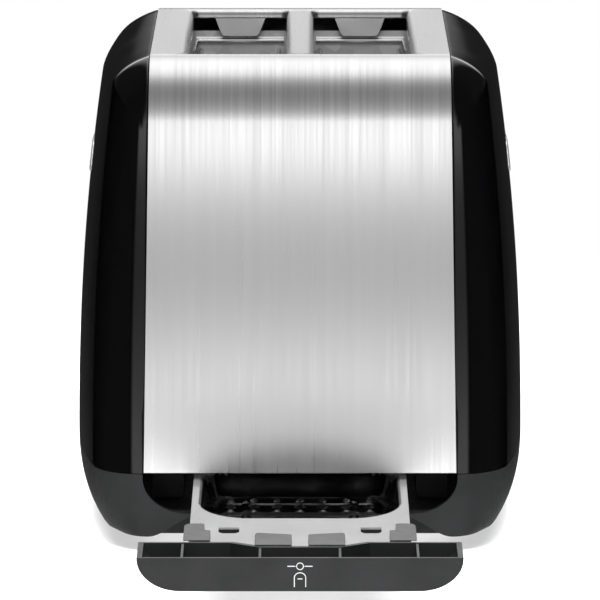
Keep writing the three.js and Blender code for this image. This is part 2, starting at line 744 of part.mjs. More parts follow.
function browningDial() {
  const start = fasciaFront + runningGap;
  const cap = bar('y', dialRadius, start, start + dialDepth, 0, dialHeight, 28);
  const shaft = bar('y', shaftRadius, boardY + boardThick + 4.5 + clearance * 2, start + 1, 0, dialHeight);
  const grip = block(-2, 2, start + dialDepth - 1, start + dialDepth + 2.4, dialHeight - dialRadius + 1.5,
    dialHeight + dialRadius - 1.5);
  return union([cap, shaft, grip]);
}

function pushButton(x) {
  const flangeFront = halfLength - coverSheet - clearance;
  const cap = buttonPrism(x, 0, flangeFront - 2, fasciaFront + buttonProud);
  const flange = buttonPrism(x, 1.4, flangeFront - 1.6, flangeFront);
  const stemBack = boardY + boardThick + 3 + buttonTravel + clearance;
  const stem = bar('y', 1.6, stemBack, flangeFront - 1, x, dialHeight, 8);
  return union([cap, flange, stem]);
}

// ---------- crumb tray ----------
function trayFront() {
  const half = trayWidth / 2;
  const notch = trayBoxDepth - notchDepth;
  const plan = (inset) => polygon([[-half + inset, inset], [half - inset, inset],
    [half - inset, trayBoxDepth - inset], [26, trayBoxDepth - inset], [15, notch - inset],
    [-15, notch - inset], [-26, trayBoxDepth - inset], [-half + inset, trayBoxDepth - inset]]);
  const section = troughOutline(half, trayBottom, trayTop, trayCornerAcross, trayCornerUp);
  const hollow = troughOutline(half - trayWall, trayBottom + trayWall, trayTop + 2, trayCornerAcross - 1,
    trayCornerUp - 1);
  const outer = frontPrism(section, 0, trayBoxDepth).intersect(planPrism(plan(0), 0, bodyHeight));
  const inner = frontPrism(hollow, 0, trayBoxDepth).intersect(planPrism(plan(trayWall), 0, bodyHeight));
  const ribs = ribPlaces.flatMap((x) => [-x, x]).map((x) => block(x - 0.6, x + 0.6, trayWall / 2,
    notch - trayWall / 2, trayBottom + trayWall / 2, trayTop - 1.5));
  return outer.subtract(inner).add(union(ribs).intersect(outer)).translate([0, trayFace, 0]);
}

// Plan of the dish pressed in the pan: long elliptical corners in front, round ones behind.
function panDishOutline(half, front, back, inset) {
  const across = dishCornerAcross - inset;
  const along = dishCornerAlong - inset;
  const corner = 14 - inset;
  const outline = new THREE.Shape();
  outline.moveTo(-half + across, front);
  outline.lineTo(half - across, front);
  outline.absellipse(half - across, front + along, across, along, -Math.PI / 2, 0);
  outline.lineTo(half, back - corner);
  outline.absarc(half - corner, back - corner, corner, 0, Math.PI / 2);
  outline.lineTo(-half + corner, back);
  outline.absarc(-half + corner, back - corner, corner, Math.PI / 2, Math.PI);
  outline.lineTo(-half, front + along);
  outline.absellipse(-half + across, front + along, across, along, Math.PI, Math.PI * 1.5);
  return outline;
}

function trayPan() {
  const half = panWidth / 2;
  const front = trayFace + trayBoxDepth + clearance;
  const dishFront = front + panFlange;
  const dishBack = trayFace + trayLength - panRim;
  const dishHalf = half - panRim;
  const dishOutline = (inset) => panDishOutline(dishHalf - inset, dishFront + inset, dishBack - inset, inset);
  const sheetTop = block(-half, half, front, trayFace + trayLength, panTop - sheet, panTop);
  const walls = planPrism(dishOutline(0), panTop - panDepth, panTop, 4);
  const hollow = planPrism(dishOutline(sheet), panTop - panDepth + sheet, panTop + 1, 4);
  const tongue = block(-2.9, 2.9, front - notchDepth + runningGap, front + 1, panTop - sheet, panTop);
  const slots = [-1, 1].map((side) => block(side * 22.8, side * 30.6, front + 19.5, front + 33,
    panTop - 2, panTop + 1));
  return cut(union([sheetTop, walls, tongue]).subtract(hollow), slots);
}

const clipThick = 1.6;
const clipWide = 16; // reach of the corner clip's wide part
const clipLong = 31; // and of its narrow part

function trayCornerClip(side) {
  const front = trayFace + trayBoxDepth + clearance;
  const low = panTop + clearance;
  const edge = side * (panWidth / 2 + 2);
  const wide = block(edge, side * (panWidth / 2 - 8), front, front + clipWide, low, low + clipThick);
  return wide.add(block(edge, side * (panWidth / 2 - 5.8), front, front + clipLong, low, low + clipThick));
}

function trayCentreClip(side) {
  const wall = trayFace + trayBoxDepth - notchDepth;
  const low = panTop + clearance;
  const [from, to] = side < 0 ? [-16.8, -3.1] : [3.1, 16.8];
  return planPrism(roundedRect(from, to, wall, wall + 20, 2), low, low + clipThick, 3);
}

// ---------- assembly ----------
const toaster = new THREE.Group();
// The whole reaches from the tray's face to the lever knob's end; its middle is the origin.
toaster.position.y = -(trayFace + knobEnd) / 2;

function place(name, shape, look) {
  const mesh = new THREE.Mesh(geometryOf(shape), look());
  mesh.name = name;
  toaster.add(mesh);
}

place('steel_cover', steelCover(), material.steel);
place('base_tub', baseTub(), material.plastic);
place('bottom_plate', bottomPlate(), material.galvanised);
footPlaces().forEach((at, i) => place(`foot_${i + 1}`, foot(at), material.rubber));
place('cord_inlet', cordInlet(), material.plastic);
place('chassis_front', chassisFront(), material.galvanised);
place('chassis_rear', chassisRear(), material.galvanised);
for (const [hand, side] of [['left', -1], ['right', 1]]) {
  const cardX = side * (shieldX - 4);
  place(`side_shell_${hand}`, sideShell(side), material.gloss);
  place(`badge_${hand}`, badge(side), material.steel);
  place(`tray_rail_${hand}`, trayRail(side), material.plastic);
  place(`heat_shield_${hand}`, heatShield(side), material.galvanised);
  place(`heater_card_${hand}`, heaterCard(cardX), material.mica);
  place(`heater_ribbon_${hand}`, heaterRibbon(cardX, -side), material.ribbon);
  place(`heater_ribbon_centre_${hand}`, heaterRibbon(0, side), material.ribbon);
  place(`bread_support_${hand}`, breadSupport(side), material.galvanised);
  place(`magnet_coil_${hand}`, magnetCoil(side), material.copper);
  place(`tray_clip_${hand}`, trayCornerClip(side), material.clip);
  place(`tray_clip_centre_${hand}`, trayCentreClip(side), material.clip);
}
place('heater_card_centre', heaterCard(0), material.mica);
const guideNames = ['left_outer', 'left_inner', 'right_inner', 'right_outer'];
guidePivots().forEach((x, i) => place(`toast_guide_${guideNames[i]}`, toastGuide(x), material.wire));
place('carriage_plate', carriagePlate(), material.galvanised);
place('carriage_block', carriageBlock(), material.bakelite);
place('lever_arm', leverArm(), material.galvanised);
place('lever_knob', leverKnob(), material.gloss);
place('armature', armature(), material.steel);
place('guide_rod', guideRod(), material.wire);
place('rod_bracket', rodBracket(), material.galvanised);
place('lift_spring', liftSpring(), material.wire);
place('mechanism_shelf', mechanismShelf(), material.galvanised);
place('magnet_core', magnetCore(), material.galvanised);
place('terminal_block', terminalBlock(), material.bakelite);
place('control_board', controlBoard(), material.board);
place('browning_pot', browningPot(), material.bakelite);
place('control_fascia', controlFascia(), material.gloss);
place('browning_dial', browningDial(), material.gloss);
buttonPlaces().forEach((x, i) => place(`push_button_${i + 1}`, pushButton(x), material.plastic));
place('tray_front', trayFront(), material.plastic);
place('tray_pan', trayPan(), material.steel);

export default toaster;
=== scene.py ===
import json
import math

import bmesh
import bpy
import numpy as np
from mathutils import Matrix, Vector


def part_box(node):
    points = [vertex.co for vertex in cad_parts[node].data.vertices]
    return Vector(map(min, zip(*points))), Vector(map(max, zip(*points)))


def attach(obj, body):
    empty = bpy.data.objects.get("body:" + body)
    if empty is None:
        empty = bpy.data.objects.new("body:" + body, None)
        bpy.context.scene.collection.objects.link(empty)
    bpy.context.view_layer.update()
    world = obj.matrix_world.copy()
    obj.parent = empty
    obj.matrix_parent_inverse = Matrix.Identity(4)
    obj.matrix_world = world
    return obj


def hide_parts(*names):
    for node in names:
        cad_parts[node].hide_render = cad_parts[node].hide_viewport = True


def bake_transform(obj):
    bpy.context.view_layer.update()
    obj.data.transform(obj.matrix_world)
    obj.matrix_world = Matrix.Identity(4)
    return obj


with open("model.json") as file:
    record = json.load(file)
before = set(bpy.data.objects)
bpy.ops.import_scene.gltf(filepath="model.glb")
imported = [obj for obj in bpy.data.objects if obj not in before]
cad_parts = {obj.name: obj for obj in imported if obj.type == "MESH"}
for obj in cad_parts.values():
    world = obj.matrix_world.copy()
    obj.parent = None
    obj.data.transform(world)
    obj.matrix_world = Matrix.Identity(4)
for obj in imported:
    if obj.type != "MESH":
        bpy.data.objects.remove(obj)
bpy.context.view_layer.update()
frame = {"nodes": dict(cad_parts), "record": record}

# ---------- places and sizes, in millimetres; y is measured from the middle of the body ----------
MM = 0.001
cover_low, cover_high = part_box("steel_cover")
BODY_Y = (cover_low.y + cover_high.y) / 2


def mm_box(node):
    """A CAD node's lowest and highest corners in millimetres, y from the middle of the body."""
    low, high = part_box(node)
    shift = Vector((0, BODY_Y, 0))
    return (low - shift) / MM, (high - shift) / MM


COVER_LOW, COVER_HIGH = mm_box("steel_cover")
TUB_LOW, TUB_HIGH = mm_box("base_tub")
TRAY_LOW, TRAY_HIGH = mm_box("tray_front")
PAN_LOW, PAN_HIGH = mm_box("tray_pan")

HALF_LENGTH = COVER_HIGH.y
TOP = COVER_HIGH.z
HALF_WIDTH = mm_box("side_shell_right")[1].x
PROUD = 0.6  # the shells stand this far outside the steel strip
GAP = 0.3
STRIP_TOP = 58.5  # half width of the steel strip along the top
STRIP_BOTTOM = 61.0  # and at its foot
BEND = 24.0
REAR_BEND_ALONG = 46.0
REAR_BEND_DOWN = 24.0
CORNER_ACROSS = 21.0
CORNER_ALONG = 30.0
SIDE_BOW = 7.3
CROWN_WIDTH = 28.0
CROWN_HEIGHT = 16.0
CROWN_FULLNESS = 1.62
SKIRT_WIDTH = 12.0
SKIRT_HEIGHT = 27.6
SKIRT_FULLNESS = 2.2
SIDE_LEAN = 9.9
LEAN_CURVE = 2.1
BASE_BOTTOM = TUB_LOW.z
BASE_TOP = TUB_HIGH.z
FLOOR_TOP = BASE_BOTTOM + 9.0
BASE_WALL = 3.0
SHEET = 0.8
COVER_SHEET = 1.0
LEVER_TRAVEL = 76.0
SLOT_WIDTH = 38.4
SLOT_LENGTH = 171.0
SLOT_BRIDGE = 10.8
SLOT_FRONT = -HALF_LENGTH + 28.0
SLOT_CENTRE = (SLOT_BRIDGE + SLOT_WIDTH) / 2
KEEP = 56.5  # the middle of the form keeps its width


# ---------- mesh helpers ----------
def place(points):
    return [Vector((x * MM, BODY_Y + y * MM, z * MM)) for x, y, z in points]


def linked(name, data):
    """A new object in the scene that holds a mesh, a light or a camera."""
    thing = bpy.data.objects.new(name, data)
    bpy.context.scene.collection.objects.link(thing)
    return thing


def ring_faces(a, b, count):
    """Faces between two closed rings of points that start at a and at b."""
    return [(a + k, a + (k + 1) % count, b + (k + 1) % count, b + k) for k in range(count)]


def hand_of(side):
    return "right" if side > 0 else "left"


def mesh_object(name, points, faces, merge=0.0):
    mesh = bpy.data.meshes.new(name)
    mesh.from_pydata(place(points), [], faces)
    work = bmesh.new()
    work.from_mesh(mesh)
    if merge:
        bmesh.ops.remove_doubles(work, verts=work.verts, dist=merge * MM)
        bmesh.ops.dissolve_degenerate(work, edges=work.edges, dist=merge * MM / 2)
    bmesh.ops.recalc_face_normals(work, faces=work.faces)
    work.to_mesh(mesh)
    work.free()
    return linked(name, mesh)


def smooth(thing, angle=35.0):
    mesh = thing.data
    mesh.polygons.foreach_set("use_smooth", [True] * len(mesh.polygons))
    mesh.set_sharp_from_angle(angle=math.radians(angle))


def bevel(thing, width, segments=2, angle=30.0):
    modifier = thing.modifiers.new("edges", "BEVEL")
    modifier.width = width * MM
    modifier.segments = segments
    modifier.limit_method = "ANGLE"
    modifier.angle_limit = math.radians(angle)
    modifier.harden_normals = True


def bake(thing):
    """Turns a piece's modifiers into its own mesh."""
    graph = bpy.context.evaluated_depsgraph_get()
    mesh = bpy.data.meshes.new_from_object(thing.evaluated_get(graph))
    thing.modifiers.clear()
    thing.data = mesh


def boolean(base, tool, operation):
    modifier = base.modifiers.new("cut", "BOOLEAN")
    modifier.operation = operation
    modifier.solver = "EXACT"
    modifier.object = tool
    bake(base)
    bpy.data.objects.remove(tool)
    return base


def extrude(name, outline, axis, start, stop):
    """A solid from a closed outline: axis z takes (x, y), axis y takes (x, z), axis x takes (y, z)."""
    order = {"z": (0, 1, 2), "y": (0, 2, 1), "x": (2, 0, 1)}[axis]
    count = len(outline)
    points = [tuple((u, v, w)[k] for k in order) for w in (start, stop) for u, v in outline]
    faces = ring_faces(0, count, count)
    faces += [tuple(range(count)), tuple(range(count, 2 * count))]
    return mesh_object(name, points, faces)


def grid_solid(name, front, back, columns, rows):
    """A sheet from two grids of points, each given row by row, closed round its edge."""
    count = columns * rows
    faces = []
    for j in range(rows - 1):
        for i in range(columns - 1):
            a = j * columns + i
            quad = (a, a + 1, a + 1 + columns, a + columns)
            faces += [quad, tuple(count + q for q in reversed(quad))]
    rim = list(range(columns)) + [j * columns + columns - 1 for j in range(1, rows)]
    rim += [(rows - 1) * columns + i for i in range(columns - 2, -1, -1)]
    rim += [j * columns for j in range(rows - 2, 0, -1)]
    faces += [(a, b, count + b, count + a) for a, b in zip(rim, rim[1:] + rim[:1])]
    return mesh_object(name, front + back, faces)


def box_piece(name, x0, x1, y0, y1, z0, z1):
    return extrude(name, [(x0, y0), (x1, y0), (x1, y1), (x0, y1)], "z", z0, z1)


def arc(cu, cv, ru, rv, start, stop, count=12):
    return [(cu + ru * math.cos(math.radians(start + (stop - start) * i / count)),
             cv + rv * math.sin(math.radians(start + (stop - start) * i / count))) for i in range(count + 1)]


def rounded(u0, u1, v0, v1, r, count=8):
    return (arc(u1 - r, v0 + r, r, r, -90, 0, count) + arc(u1 - r, v1 - r, r, r, 0, 90, count)
            + arc(u0 + r, v1 - r, r, r, 90, 180, count) + arc(u0 + r, v0 + r, r, r, 180, 270, count))


def trough(half, bottom, top, across, up, count=24):
    centre = half - across
    return ([(half, top), (-half, top)] + arc(-centre, bottom + up, across, up, 180, 270, count)
            + arc(centre, bottom + up, across, up, -90, 0, count))


def tube(name, path, radius, sides=8, closed=False):
    """A round tube along points, with capped ends unless it closes on itself."""
    path = [Vector(p) for p in path]
    count = len(path)
    points = []
    side = None
    for i, here in enumerate(path):
        ahead = path[(i + 1) % count] if closed or i < count - 1 else here
        behind = path[i - 1] if closed or i > 0 else here
        along = (ahead - behind).normalized()
        if side is None:
            side = along.orthogonal().normalized()
        side = (side - along * side.dot(along)).normalized()
        up = along.cross(side)
        for k in range(sides):
            turn = 2 * math.pi * k / sides
            points.append(here + side * radius * math.cos(turn) + up * radius * math.sin(turn))
    rings = count if closed else count - 1
    faces = []
    for i in range(rings):
        faces += ring_faces(i * sides, ((i + 1) % count) * sides, sides)
    if not closed:
        faces += [tuple(range(sides)), tuple(range((count - 1) * sides, count * sides))]
    return mesh_object(name, points, faces)


def turned(name, profile, centre, axis="z", sides=48):
    """A lathed solid: profile holds (radius, height) from the axis at one end to the axis at the other."""
    points, faces = [], []
    for radius, height in profile:
        for k in range(sides):
            turn = 2 * math.pi * k / sides
            a, b = radius * math.cos(turn), radius * math.sin(turn)
            at = {"z": (a, b, height), "y": (a, height, b), "x": (height, a, b)}[axis]
            points.append(tuple(c + d for c, d in zip(centre, at)))
    for i in range(len(profile) - 1):
        faces += ring_faces(i * sides, (i + 1) * sides, sides)
    return mesh_object(name, points, faces, merge=0.001)


def joined(name, pieces):
    """One object from several, their meshes side by side."""
    work = bmesh.new()
    for piece in pieces:
        work.from_mesh(piece.data)
        bpy.data.objects.remove(piece)
    mesh = bpy.data.meshes.new(name)
    work.to_mesh(mesh)
    work.free()
    return linked(name, mesh)


# ---------- materials ----------
class Look:
    """A Principled material with short helpers for its procedural nodes."""

    def __init__(self, name, color, roughness, metallic=0.0, specular=0.5):
        self.material = bpy.data.materials.new(name)
        self.material.use_nodes = True
        self.tree = self.material.node_tree
        self.shader = self.tree.nodes["Principled BSDF"]
        self.shader.inputs["Base Color"].default_value = (*color, 1)
        self.shader.inputs["Roughness"].default_value = roughness
        self.shader.inputs["Metallic"].default_value = metallic
        self.shader.inputs["Specular IOR Level"].default_value = specular
        self.place = self.tree.nodes.new("ShaderNodeTexCoord").outputs["Object"]
        self.height = None

    def node(self, kind, **values):
        made = self.tree.nodes.new(kind)
        for key, value in values.items():
            setattr(made, key, value)
        return made

    def link(self, source, target):
        self.tree.links.new(source, target)

    def noise(self, scale, stretch=(1, 1, 1), detail=4.0, roughness=0.55, offset=(0, 0, 0)):
        mapping = self.node("ShaderNodeMapping")
        mapping.inputs["Scale"].default_value = stretch
        mapping.inputs["Location"].default_value = offset
        texture = self.node("ShaderNodeTexNoise")
        texture.inputs["Scale"].default_value = scale
        texture.inputs["Detail"].default_value = detail
        texture.inputs["Roughness"].default_value = roughness
        self.link(self.place, mapping.inputs["Vector"])
        self.link(mapping.outputs["Vector"], texture.inputs["Vector"])
        return texture.outputs["Fac"]

    def cells(self, scale, feature="F1", output="Distance", stretch=(1, 1, 1)):
        mapping = self.node("ShaderNodeMapping")
        mapping.inputs["Scale"].default_value = stretch
        texture = self.node("ShaderNodeTexVoronoi", feature=feature)
        texture.inputs["Scale"].default_value = scale
        self.link(self.place, mapping.inputs["Vector"])
        self.link(mapping.outputs["Vector"], texture.inputs["Vector"])
        return texture.outputs[output]

    def spread(self, source, low, high, start=0.3, stop=0.7):
        made = self.node("ShaderNodeMapRange")
        self.link(source, made.inputs["Value"])
        for name, value in (("From Min", start), ("From Max", stop), ("To Min", low), ("To Max", high)):
            made.inputs[name].default_value = value
        return made.outputs["Result"]

    def tint(self, source, dark, light, start=0.3, stop=0.7):
        ramp = self.node("ShaderNodeValToRGB")
        ramp.color_ramp.elements[0].position = start
        ramp.color_ramp.elements[1].position = stop
        ramp.color_ramp.elements[0].color = (*dark, 1)
        ramp.color_ramp.elements[1].color = (*light, 1)
        self.link(source, ramp.inputs["Fac"])
        self.link(ramp.outputs["Color"], self.shader.inputs["Base Color"])

    def rough(self, source, low, high, start=0.3, stop=0.7):
        self.link(self.spread(source, low, high, start, stop), self.shader.inputs["Roughness"])

    def bump(self, source, distance, strength=1.0):
        made = self.node("ShaderNodeBump")
        made.inputs["Distance"].default_value = distance * MM
        made.inputs["Strength"].default_value = strength
        self.link(source, made.inputs["Height"])
        if self.height is not None:
            self.link(self.height, made.inputs["Normal"])
        self.height = made.outputs["Normal"]
        self.link(self.height, self.shader.inputs["Normal"])

    def grain_along(self, direction, amount):
        """Blurs the reflections along one direction, across the brushed grain."""
        made = self.node("ShaderNodeCombineXYZ")
        for socket, value in zip("XYZ", direction):
            made.inputs[socket].default_value = value
        self.shader.inputs["Anisotropic"].default_value = amount
        self.link(made.outputs["Vector"], self.shader.inputs["Tangent"])


def brushed_steel():
    look = Look("brushed_steel", (0.62, 0.62, 0.62), 0.3, metallic=1.0)
    fine = look.noise(900, (1, 0.012, 0.012), detail=2)
    broad = look.noise(260, (1, 0.02, 0.02), detail=3, offset=(0.3, 0.1, 0.2))
    look.grain_along((1, 0, 0), 0.82)
    look.rough(fine, 0.27, 0.35)
    look.tint(broad, (0.604, 0.604, 0.606), (0.636, 0.636, 0.638), 0.25, 0.75)
    look.bump(fine, 0.0004)
    return look.material


def gloss_black():
    look = Look("gloss_black", (0.0022, 0.0022, 0.0025), 0.05, specular=0.3)
    haze = look.noise(45, detail=5)
    look.rough(haze, 0.035, 0.075)
    look.bump(look.noise(140, detail=1), 0.0012)
    return look.material


def moulded(name, dark, light, low, high, grain=0.02, scale=1500, specular=0.4):
    look = Look(name, light, high, specular=specular)
    look.tint(look.noise(60, detail=6), dark, light)
    look.rough(look.noise(350, detail=3), low, high)
    look.bump(look.noise(scale, detail=2, roughness=0.6), grain)
    look.bump(look.cells(scale * 0.6), grain * 0.6)
    return look.material


def galvanised():
    look = Look("sheet_steel", (0.45, 0.455, 0.46), 0.38, metallic=0.6)
    spangle = look.cells(160, output="Color")
    look.rough(look.noise(220, detail=4), 0.3, 0.48)
    look.tint(spangle, (0.5, 0.505, 0.51), (0.68, 0.685, 0.69), 0.1, 0.9)
    look.bump(look.noise(500, detail=3), 0.006)
    return look.material


def dish_steel():
    look = Look("dish_steel", (0.5, 0.5, 0.5), 0.1, metallic=1.0)
    look.rough(look.noise(70, detail=5), 0.05, 0.16)
    look.tint(look.noise(40, (1, 0.3, 1), detail=6), (0.36, 0.36, 0.365), (0.66, 0.66, 0.665))
    look.bump(look.noise(120, detail=4), 0.12)
    look.bump(look.cells(260), 0.02)
    return look.material


def polished_steel():
    look = Look("pressed_steel", (0.8, 0.8, 0.8), 0.17, metallic=0.66)
    look.rough(look.noise(60, (1, 0.2, 1), detail=5), 0.1, 0.26)
    look.tint(look.noise(25, detail=6), (0.78, 0.78, 0.785), (0.92, 0.92, 0.925))
    look.bump(look.noise(90, detail=3), 0.05)
    look.bump(look.noise(700, (1, 0.05, 1), detail=2), 0.003)
    return look.material


def mica_board():
    look = Look("mica", (0.42, 0.36, 0.27), 0.55)
    look.tint(look.noise(40, (1, 1, 3), detail=8, roughness=0.7), (0.3, 0.25, 0.17), (0.52, 0.46, 0.36))
    look.rough(look.cells(120), 0.35, 0.7, 0.0, 0.8)
    look.bump(look.noise(160, detail=6), 0.04)
    return look.material


def heating_ribbon():
    look = Look("heating_ribbon", (0.3, 0.28, 0.27), 0.35, metallic=1.0)
    look.tint(look.noise(90, (1, 0.2, 1), detail=5), (0.18, 0.16, 0.17), (0.42, 0.4, 0.38))
    look.rough(look.noise(400), 0.25, 0.5)
    return look.material


def bright_wire():
    look = Look("bright_wire", (0.72, 0.72, 0.73), 0.18, metallic=1.0)
    look.rough(look.noise(300, detail=4), 0.1, 0.28)
    look.tint(look.noise(80, detail=4), (0.6, 0.6, 0.61), (0.78, 0.78, 0.79))
    look.bump(look.noise(900), 0.004)
    return look.material


def copper_winding():
    look = Look("copper", (0.5, 0.2, 0.08), 0.3, metallic=1.0)
    wave = look.node("ShaderNodeTexWave", wave_type="BANDS", bands_direction="Z")
    wave.inputs["Scale"].default_value = 520
    look.link(look.place, wave.inputs["Vector"])
    look.bump(wave.outputs["Fac"], 0.15)
    look.tint(look.noise(200, detail=4), (0.36, 0.13, 0.05), (0.6, 0.27, 0.11))
    return look.material


def circuit_board():
    look = Look("circuit_board", (0.02, 0.11, 0.045), 0.35)
    look.tint(look.cells(300, feature="SMOOTH_F1"), (0.012, 0.07, 0.03), (0.03, 0.15, 0.06), 0.1, 0.6)
    look.bump(look.cells(260), 0.03)
    return look.material


LOOKS = {
    "brushed_steel": brushed_steel(),
    "gloss_black": gloss_black(),
    "dark_plastic": moulded("dark_plastic", (0.019, 0.0195, 0.02), (0.026, 0.0265, 0.0275), 0.42, 0.56,
                            specular=0.13),
    "grey_plastic": moulded("grey_plastic", (0.15, 0.15, 0.153), (0.185, 0.186, 0.19), 0.5, 0.65),
    "sheet_steel": galvanised(),
    "mica": mica_board(),
    "heating_ribbon": heating_ribbon(),
    "bright_wire": bright_wire(),
    "rubber": moulded("rubber", (0.012, 0.012, 0.012), (0.022, 0.022, 0.022), 0.7, 0.9, grain=0.03),
    "circuit_board": circuit_board(),
    "copper": copper_winding(),
    "pale_plastic": moulded("pale_plastic", (0.5, 0.47, 0.4), (0.62, 0.58, 0.5), 0.5, 0.65),
}
PRESSED = polished_steel()
DISH = dish_steel()
# A lighter copy of the dark plastic for the tray front's rim: a painted highlight on its upward faces.
RIM_PAINTED_HIGHLIGHT = moulded("rim_painted_highlight", (0.085, 0.086, 0.088), (0.12, 0.121, 0.124), 0.35, 0.5, specular=0.4)
PRINT = moulded("pale_print", (0.55, 0.55, 0.55), (0.66, 0.66, 0.66), 0.5, 0.6, grain=0.004)


def finish_piece(thing, body, slot, nodes=(), material=None, angle=35.0):
    thing.data.materials.clear()
    thing.data.materials.append(material or LOOKS[slot])
    smooth(thing, angle)
    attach(thing, body)
    if nodes:
        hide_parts(*nodes)
    return thing


def dress_nodes():
    """Every CAD node gets its slot's material and smooth shading, with edges sharper than 32 degrees kept
    sharp.
    """
    for part in frame["record"]["subparts"]:
        node = frame["nodes"][part["node"]]
        node.data.materials.clear()
        node.data.materials.append(LOOKS[part["material_slot"]])
        smooth(node, 32)


# ---------- the outer form ----------
def rounded_leg(share, fullness):
    return (1 - share ** fullness) ** (1 / fullness)


SKIRT_TOP = BASE_BOTTOM + SKIRT_HEIGHT
CROWN_BOTTOM = TOP + PROUD / 2 - CROWN_HEIGHT
SHELL_WALL = 2.4
RIM_ROUND = 0.4  # radius of the shell's rim
WIDTH_TRIES = 6  # the crown's width and height settle each other


def side_at(z):
    """Half width of the whole at a height, below the crown."""
    if z < SKIRT_TOP:
        fall = min(1.0, (SKIRT_TOP - z) / SKIRT_HEIGHT)
        return HALF_WIDTH - SKIRT_WIDTH + SKIRT_WIDTH * rounded_leg(fall, SKIRT_FULLNESS)
    return HALF_WIDTH - SIDE_LEAN * ((z - SKIRT_TOP) / (CROWN_BOTTOM - SKIRT_TOP)) ** LEAN_CURVE


def strip_at(z):
    return STRIP_TOP + (STRIP_BOTTOM - STRIP_TOP) * (TOP - z) / (TOP - COVER_LOW.z)


def saddle_top(y, inset=0.0):
    """Height of the saddle's surface at a place along the body."""
    end = HALF_LENGTH - inset
    along, down = (REAR_BEND_ALONG - inset, REAR_BEND_DOWN - inset) if y > 0 else (BEND - inset, BEND - inset)
    reach = end - abs(y)
    if reach >= along:
        return TOP - inset
    return TOP - inset - down * (1 - math.sqrt(max(0.0, 1 - ((along - reach) / along) ** 2)))


def plan_side(corner_steps=22, side_steps=36, inset=0.0):
    """Right half of the plan outline, from the flat front end to the flat rear end."""
    end = HALF_LENGTH + PROUD - inset
    across, along = CORNER_ACROSS - inset / 2, CORNER_ALONG - inset
    turn = 10
    cx = HALF_WIDTH - SIDE_BOW - CORNER_ACROSS - inset / 2
    sx = cx + across * math.cos(math.radians(turn))
    bow = 2 * (HALF_WIDTH - inset) - sx
    y0 = end - along + along * math.sin(math.radians(turn))
    front = arc(cx, -end + along, across, along, -90, -turn, corner_steps)
    side = []
    for i in range(1, side_steps):
        t = i / side_steps
        side.append(((1 - t) ** 2 * sx + 2 * t * (1 - t) * bow + t * t * sx, -y0 * (1 - t) ** 2 + y0 * t * t))
    return front + side + arc(cx, end - along, across, along, turn, 90, corner_steps)


def narrowed(x, z):
    """A plan point's x drawn in to the form's half width at a height."""
    return KEEP + (x - KEEP) * (side_at(z) - KEEP) / (HALF_WIDTH - KEEP)


def shell_columns():
    """Columns of points up the right side shell, each from its lower edge to the steel strip."""
    edge_gap = GAP + 0.4
    columns = []
    foot = BASE_TOP + GAP
    rise_steps, crown_steps = 30, 26
    reach = (strip_at(TOP) + edge_gap - (side_at(CROWN_BOTTOM) - CROWN_WIDTH)) / CROWN_WIDTH
    last = rounded_leg(reach, CROWN_FULLNESS)
    for px, py in plan_side():
        top = saddle_top(py, -PROUD) - PROUD / 2
        height = CROWN_HEIGHT
        for _ in range(WIDTH_TRIES):
            bottom = top - height
            edge = strip_at(top) + edge_gap
            side = max(narrowed(px, bottom), edge + 0.01)
            width = (side - edge) / (1 - reach)
            height = CROWN_HEIGHT * min(1.0, width / CROWN_WIDTH) ** 0.75
        column = []
        for i in range(rise_steps):
            z = foot + (bottom - foot) * i / rise_steps
            column.append((max(narrowed(px, z), strip_at(z) + edge_gap), py, z))
        for i in range(crown_steps + 1):
            turn = math.asin(last) * i / crown_steps
            climb = math.sin(turn)
            x = side - width + width * rounded_leg(climb, CROWN_FULLNESS)
            column.append((max(x, edge), py, bottom + height * climb))
        columns.append(column)
    return columns


def normals_of(grid):
    du = np.gradient(grid, axis=0)
    dv = np.gradient(grid, axis=1)
    n = np.cross(du, dv)
    length = np.linalg.norm(n, axis=2, keepdims=True)
    return n / np.maximum(length, 1e-9)


def side_shell(side):
    outer = np.array(shell_columns())
    normal = normals_of(outer)
    if normal[len(normal) // 2, 5, 0] < 0:
        normal = -normal
    inner = outer - normal * SHELL_WALL
    inner[:, :, 0] = np.maximum(inner[:, :, 0], STRIP_TOP + GAP)
    inner[:, 0, 2] = outer[:, 0, 2]
    nu, nv = outer.shape[:2]
    points = [tuple(p) for p in outer.reshape(-1, 3)] + [tuple(p) for p in inner.reshape(-1, 3)]
    back = nu * nv
    faces = []
    for i in range(nu - 1):
        for j in range(nv - 1):
            a = i * nv + j
            quad = (a, a + nv, a + nv + 1, a + 1)
            faces += [quad, tuple(back + q for q in reversed(quad))]
        faces.append((i * nv, back + i * nv, back + (i + 1) * nv, (i + 1) * nv))
    rim = list(range(nv)) + [i * nv + nv - 1 for i in range(1, nu)]
    rim += [(nu - 1) * nv + j for j in range(nv - 2, -1, -1)]
    rows = [rim]
    flat_n = normal.reshape(-1, 3)
    flat_p = outer.reshape(-1, 3)
    for angle in (30, 60, 90):
        row = []
        for index in rim:
            n = flat_n[index]
            away = np.array([-1.0, 0, 0]) + n * n[0]
            away /= max(np.linalg.norm(away), 1e-6)
            a = math.radians(angle)
            row.append(len(points))
            around = away * RIM_ROUND * math.sin(a) - n * RIM_ROUND * (1 - math.cos(a))
            points.append(tuple(flat_p[index] + around))
        rows.append(row)
    rows.append([back + index for index in rim])
    for low, high in zip(rows, rows[1:]):
        faces += [(low[k], low[k + 1], high[k + 1], high[k]) for k in range(len(rim) - 1)]
    points = [(side * x, y, z) for x, y, z in points]
    hand = hand_of(side)
    shell = mesh_object(f"shell_{hand}", points, faces, merge=0.004)
    return finish_piece(shell, "body", "gloss_black", [f"side_shell_{hand}"], angle=50)


def form_ring(z, inset=0.0):
    """The whole plan outline at a height, closed."""
    right = [(narrowed(x, z) if not inset else narrowed(x, z + inset), y) for x, y in plan_side(inset=inset)]
    left = [(-x, y) for x, y in reversed(right)]
    return right + left


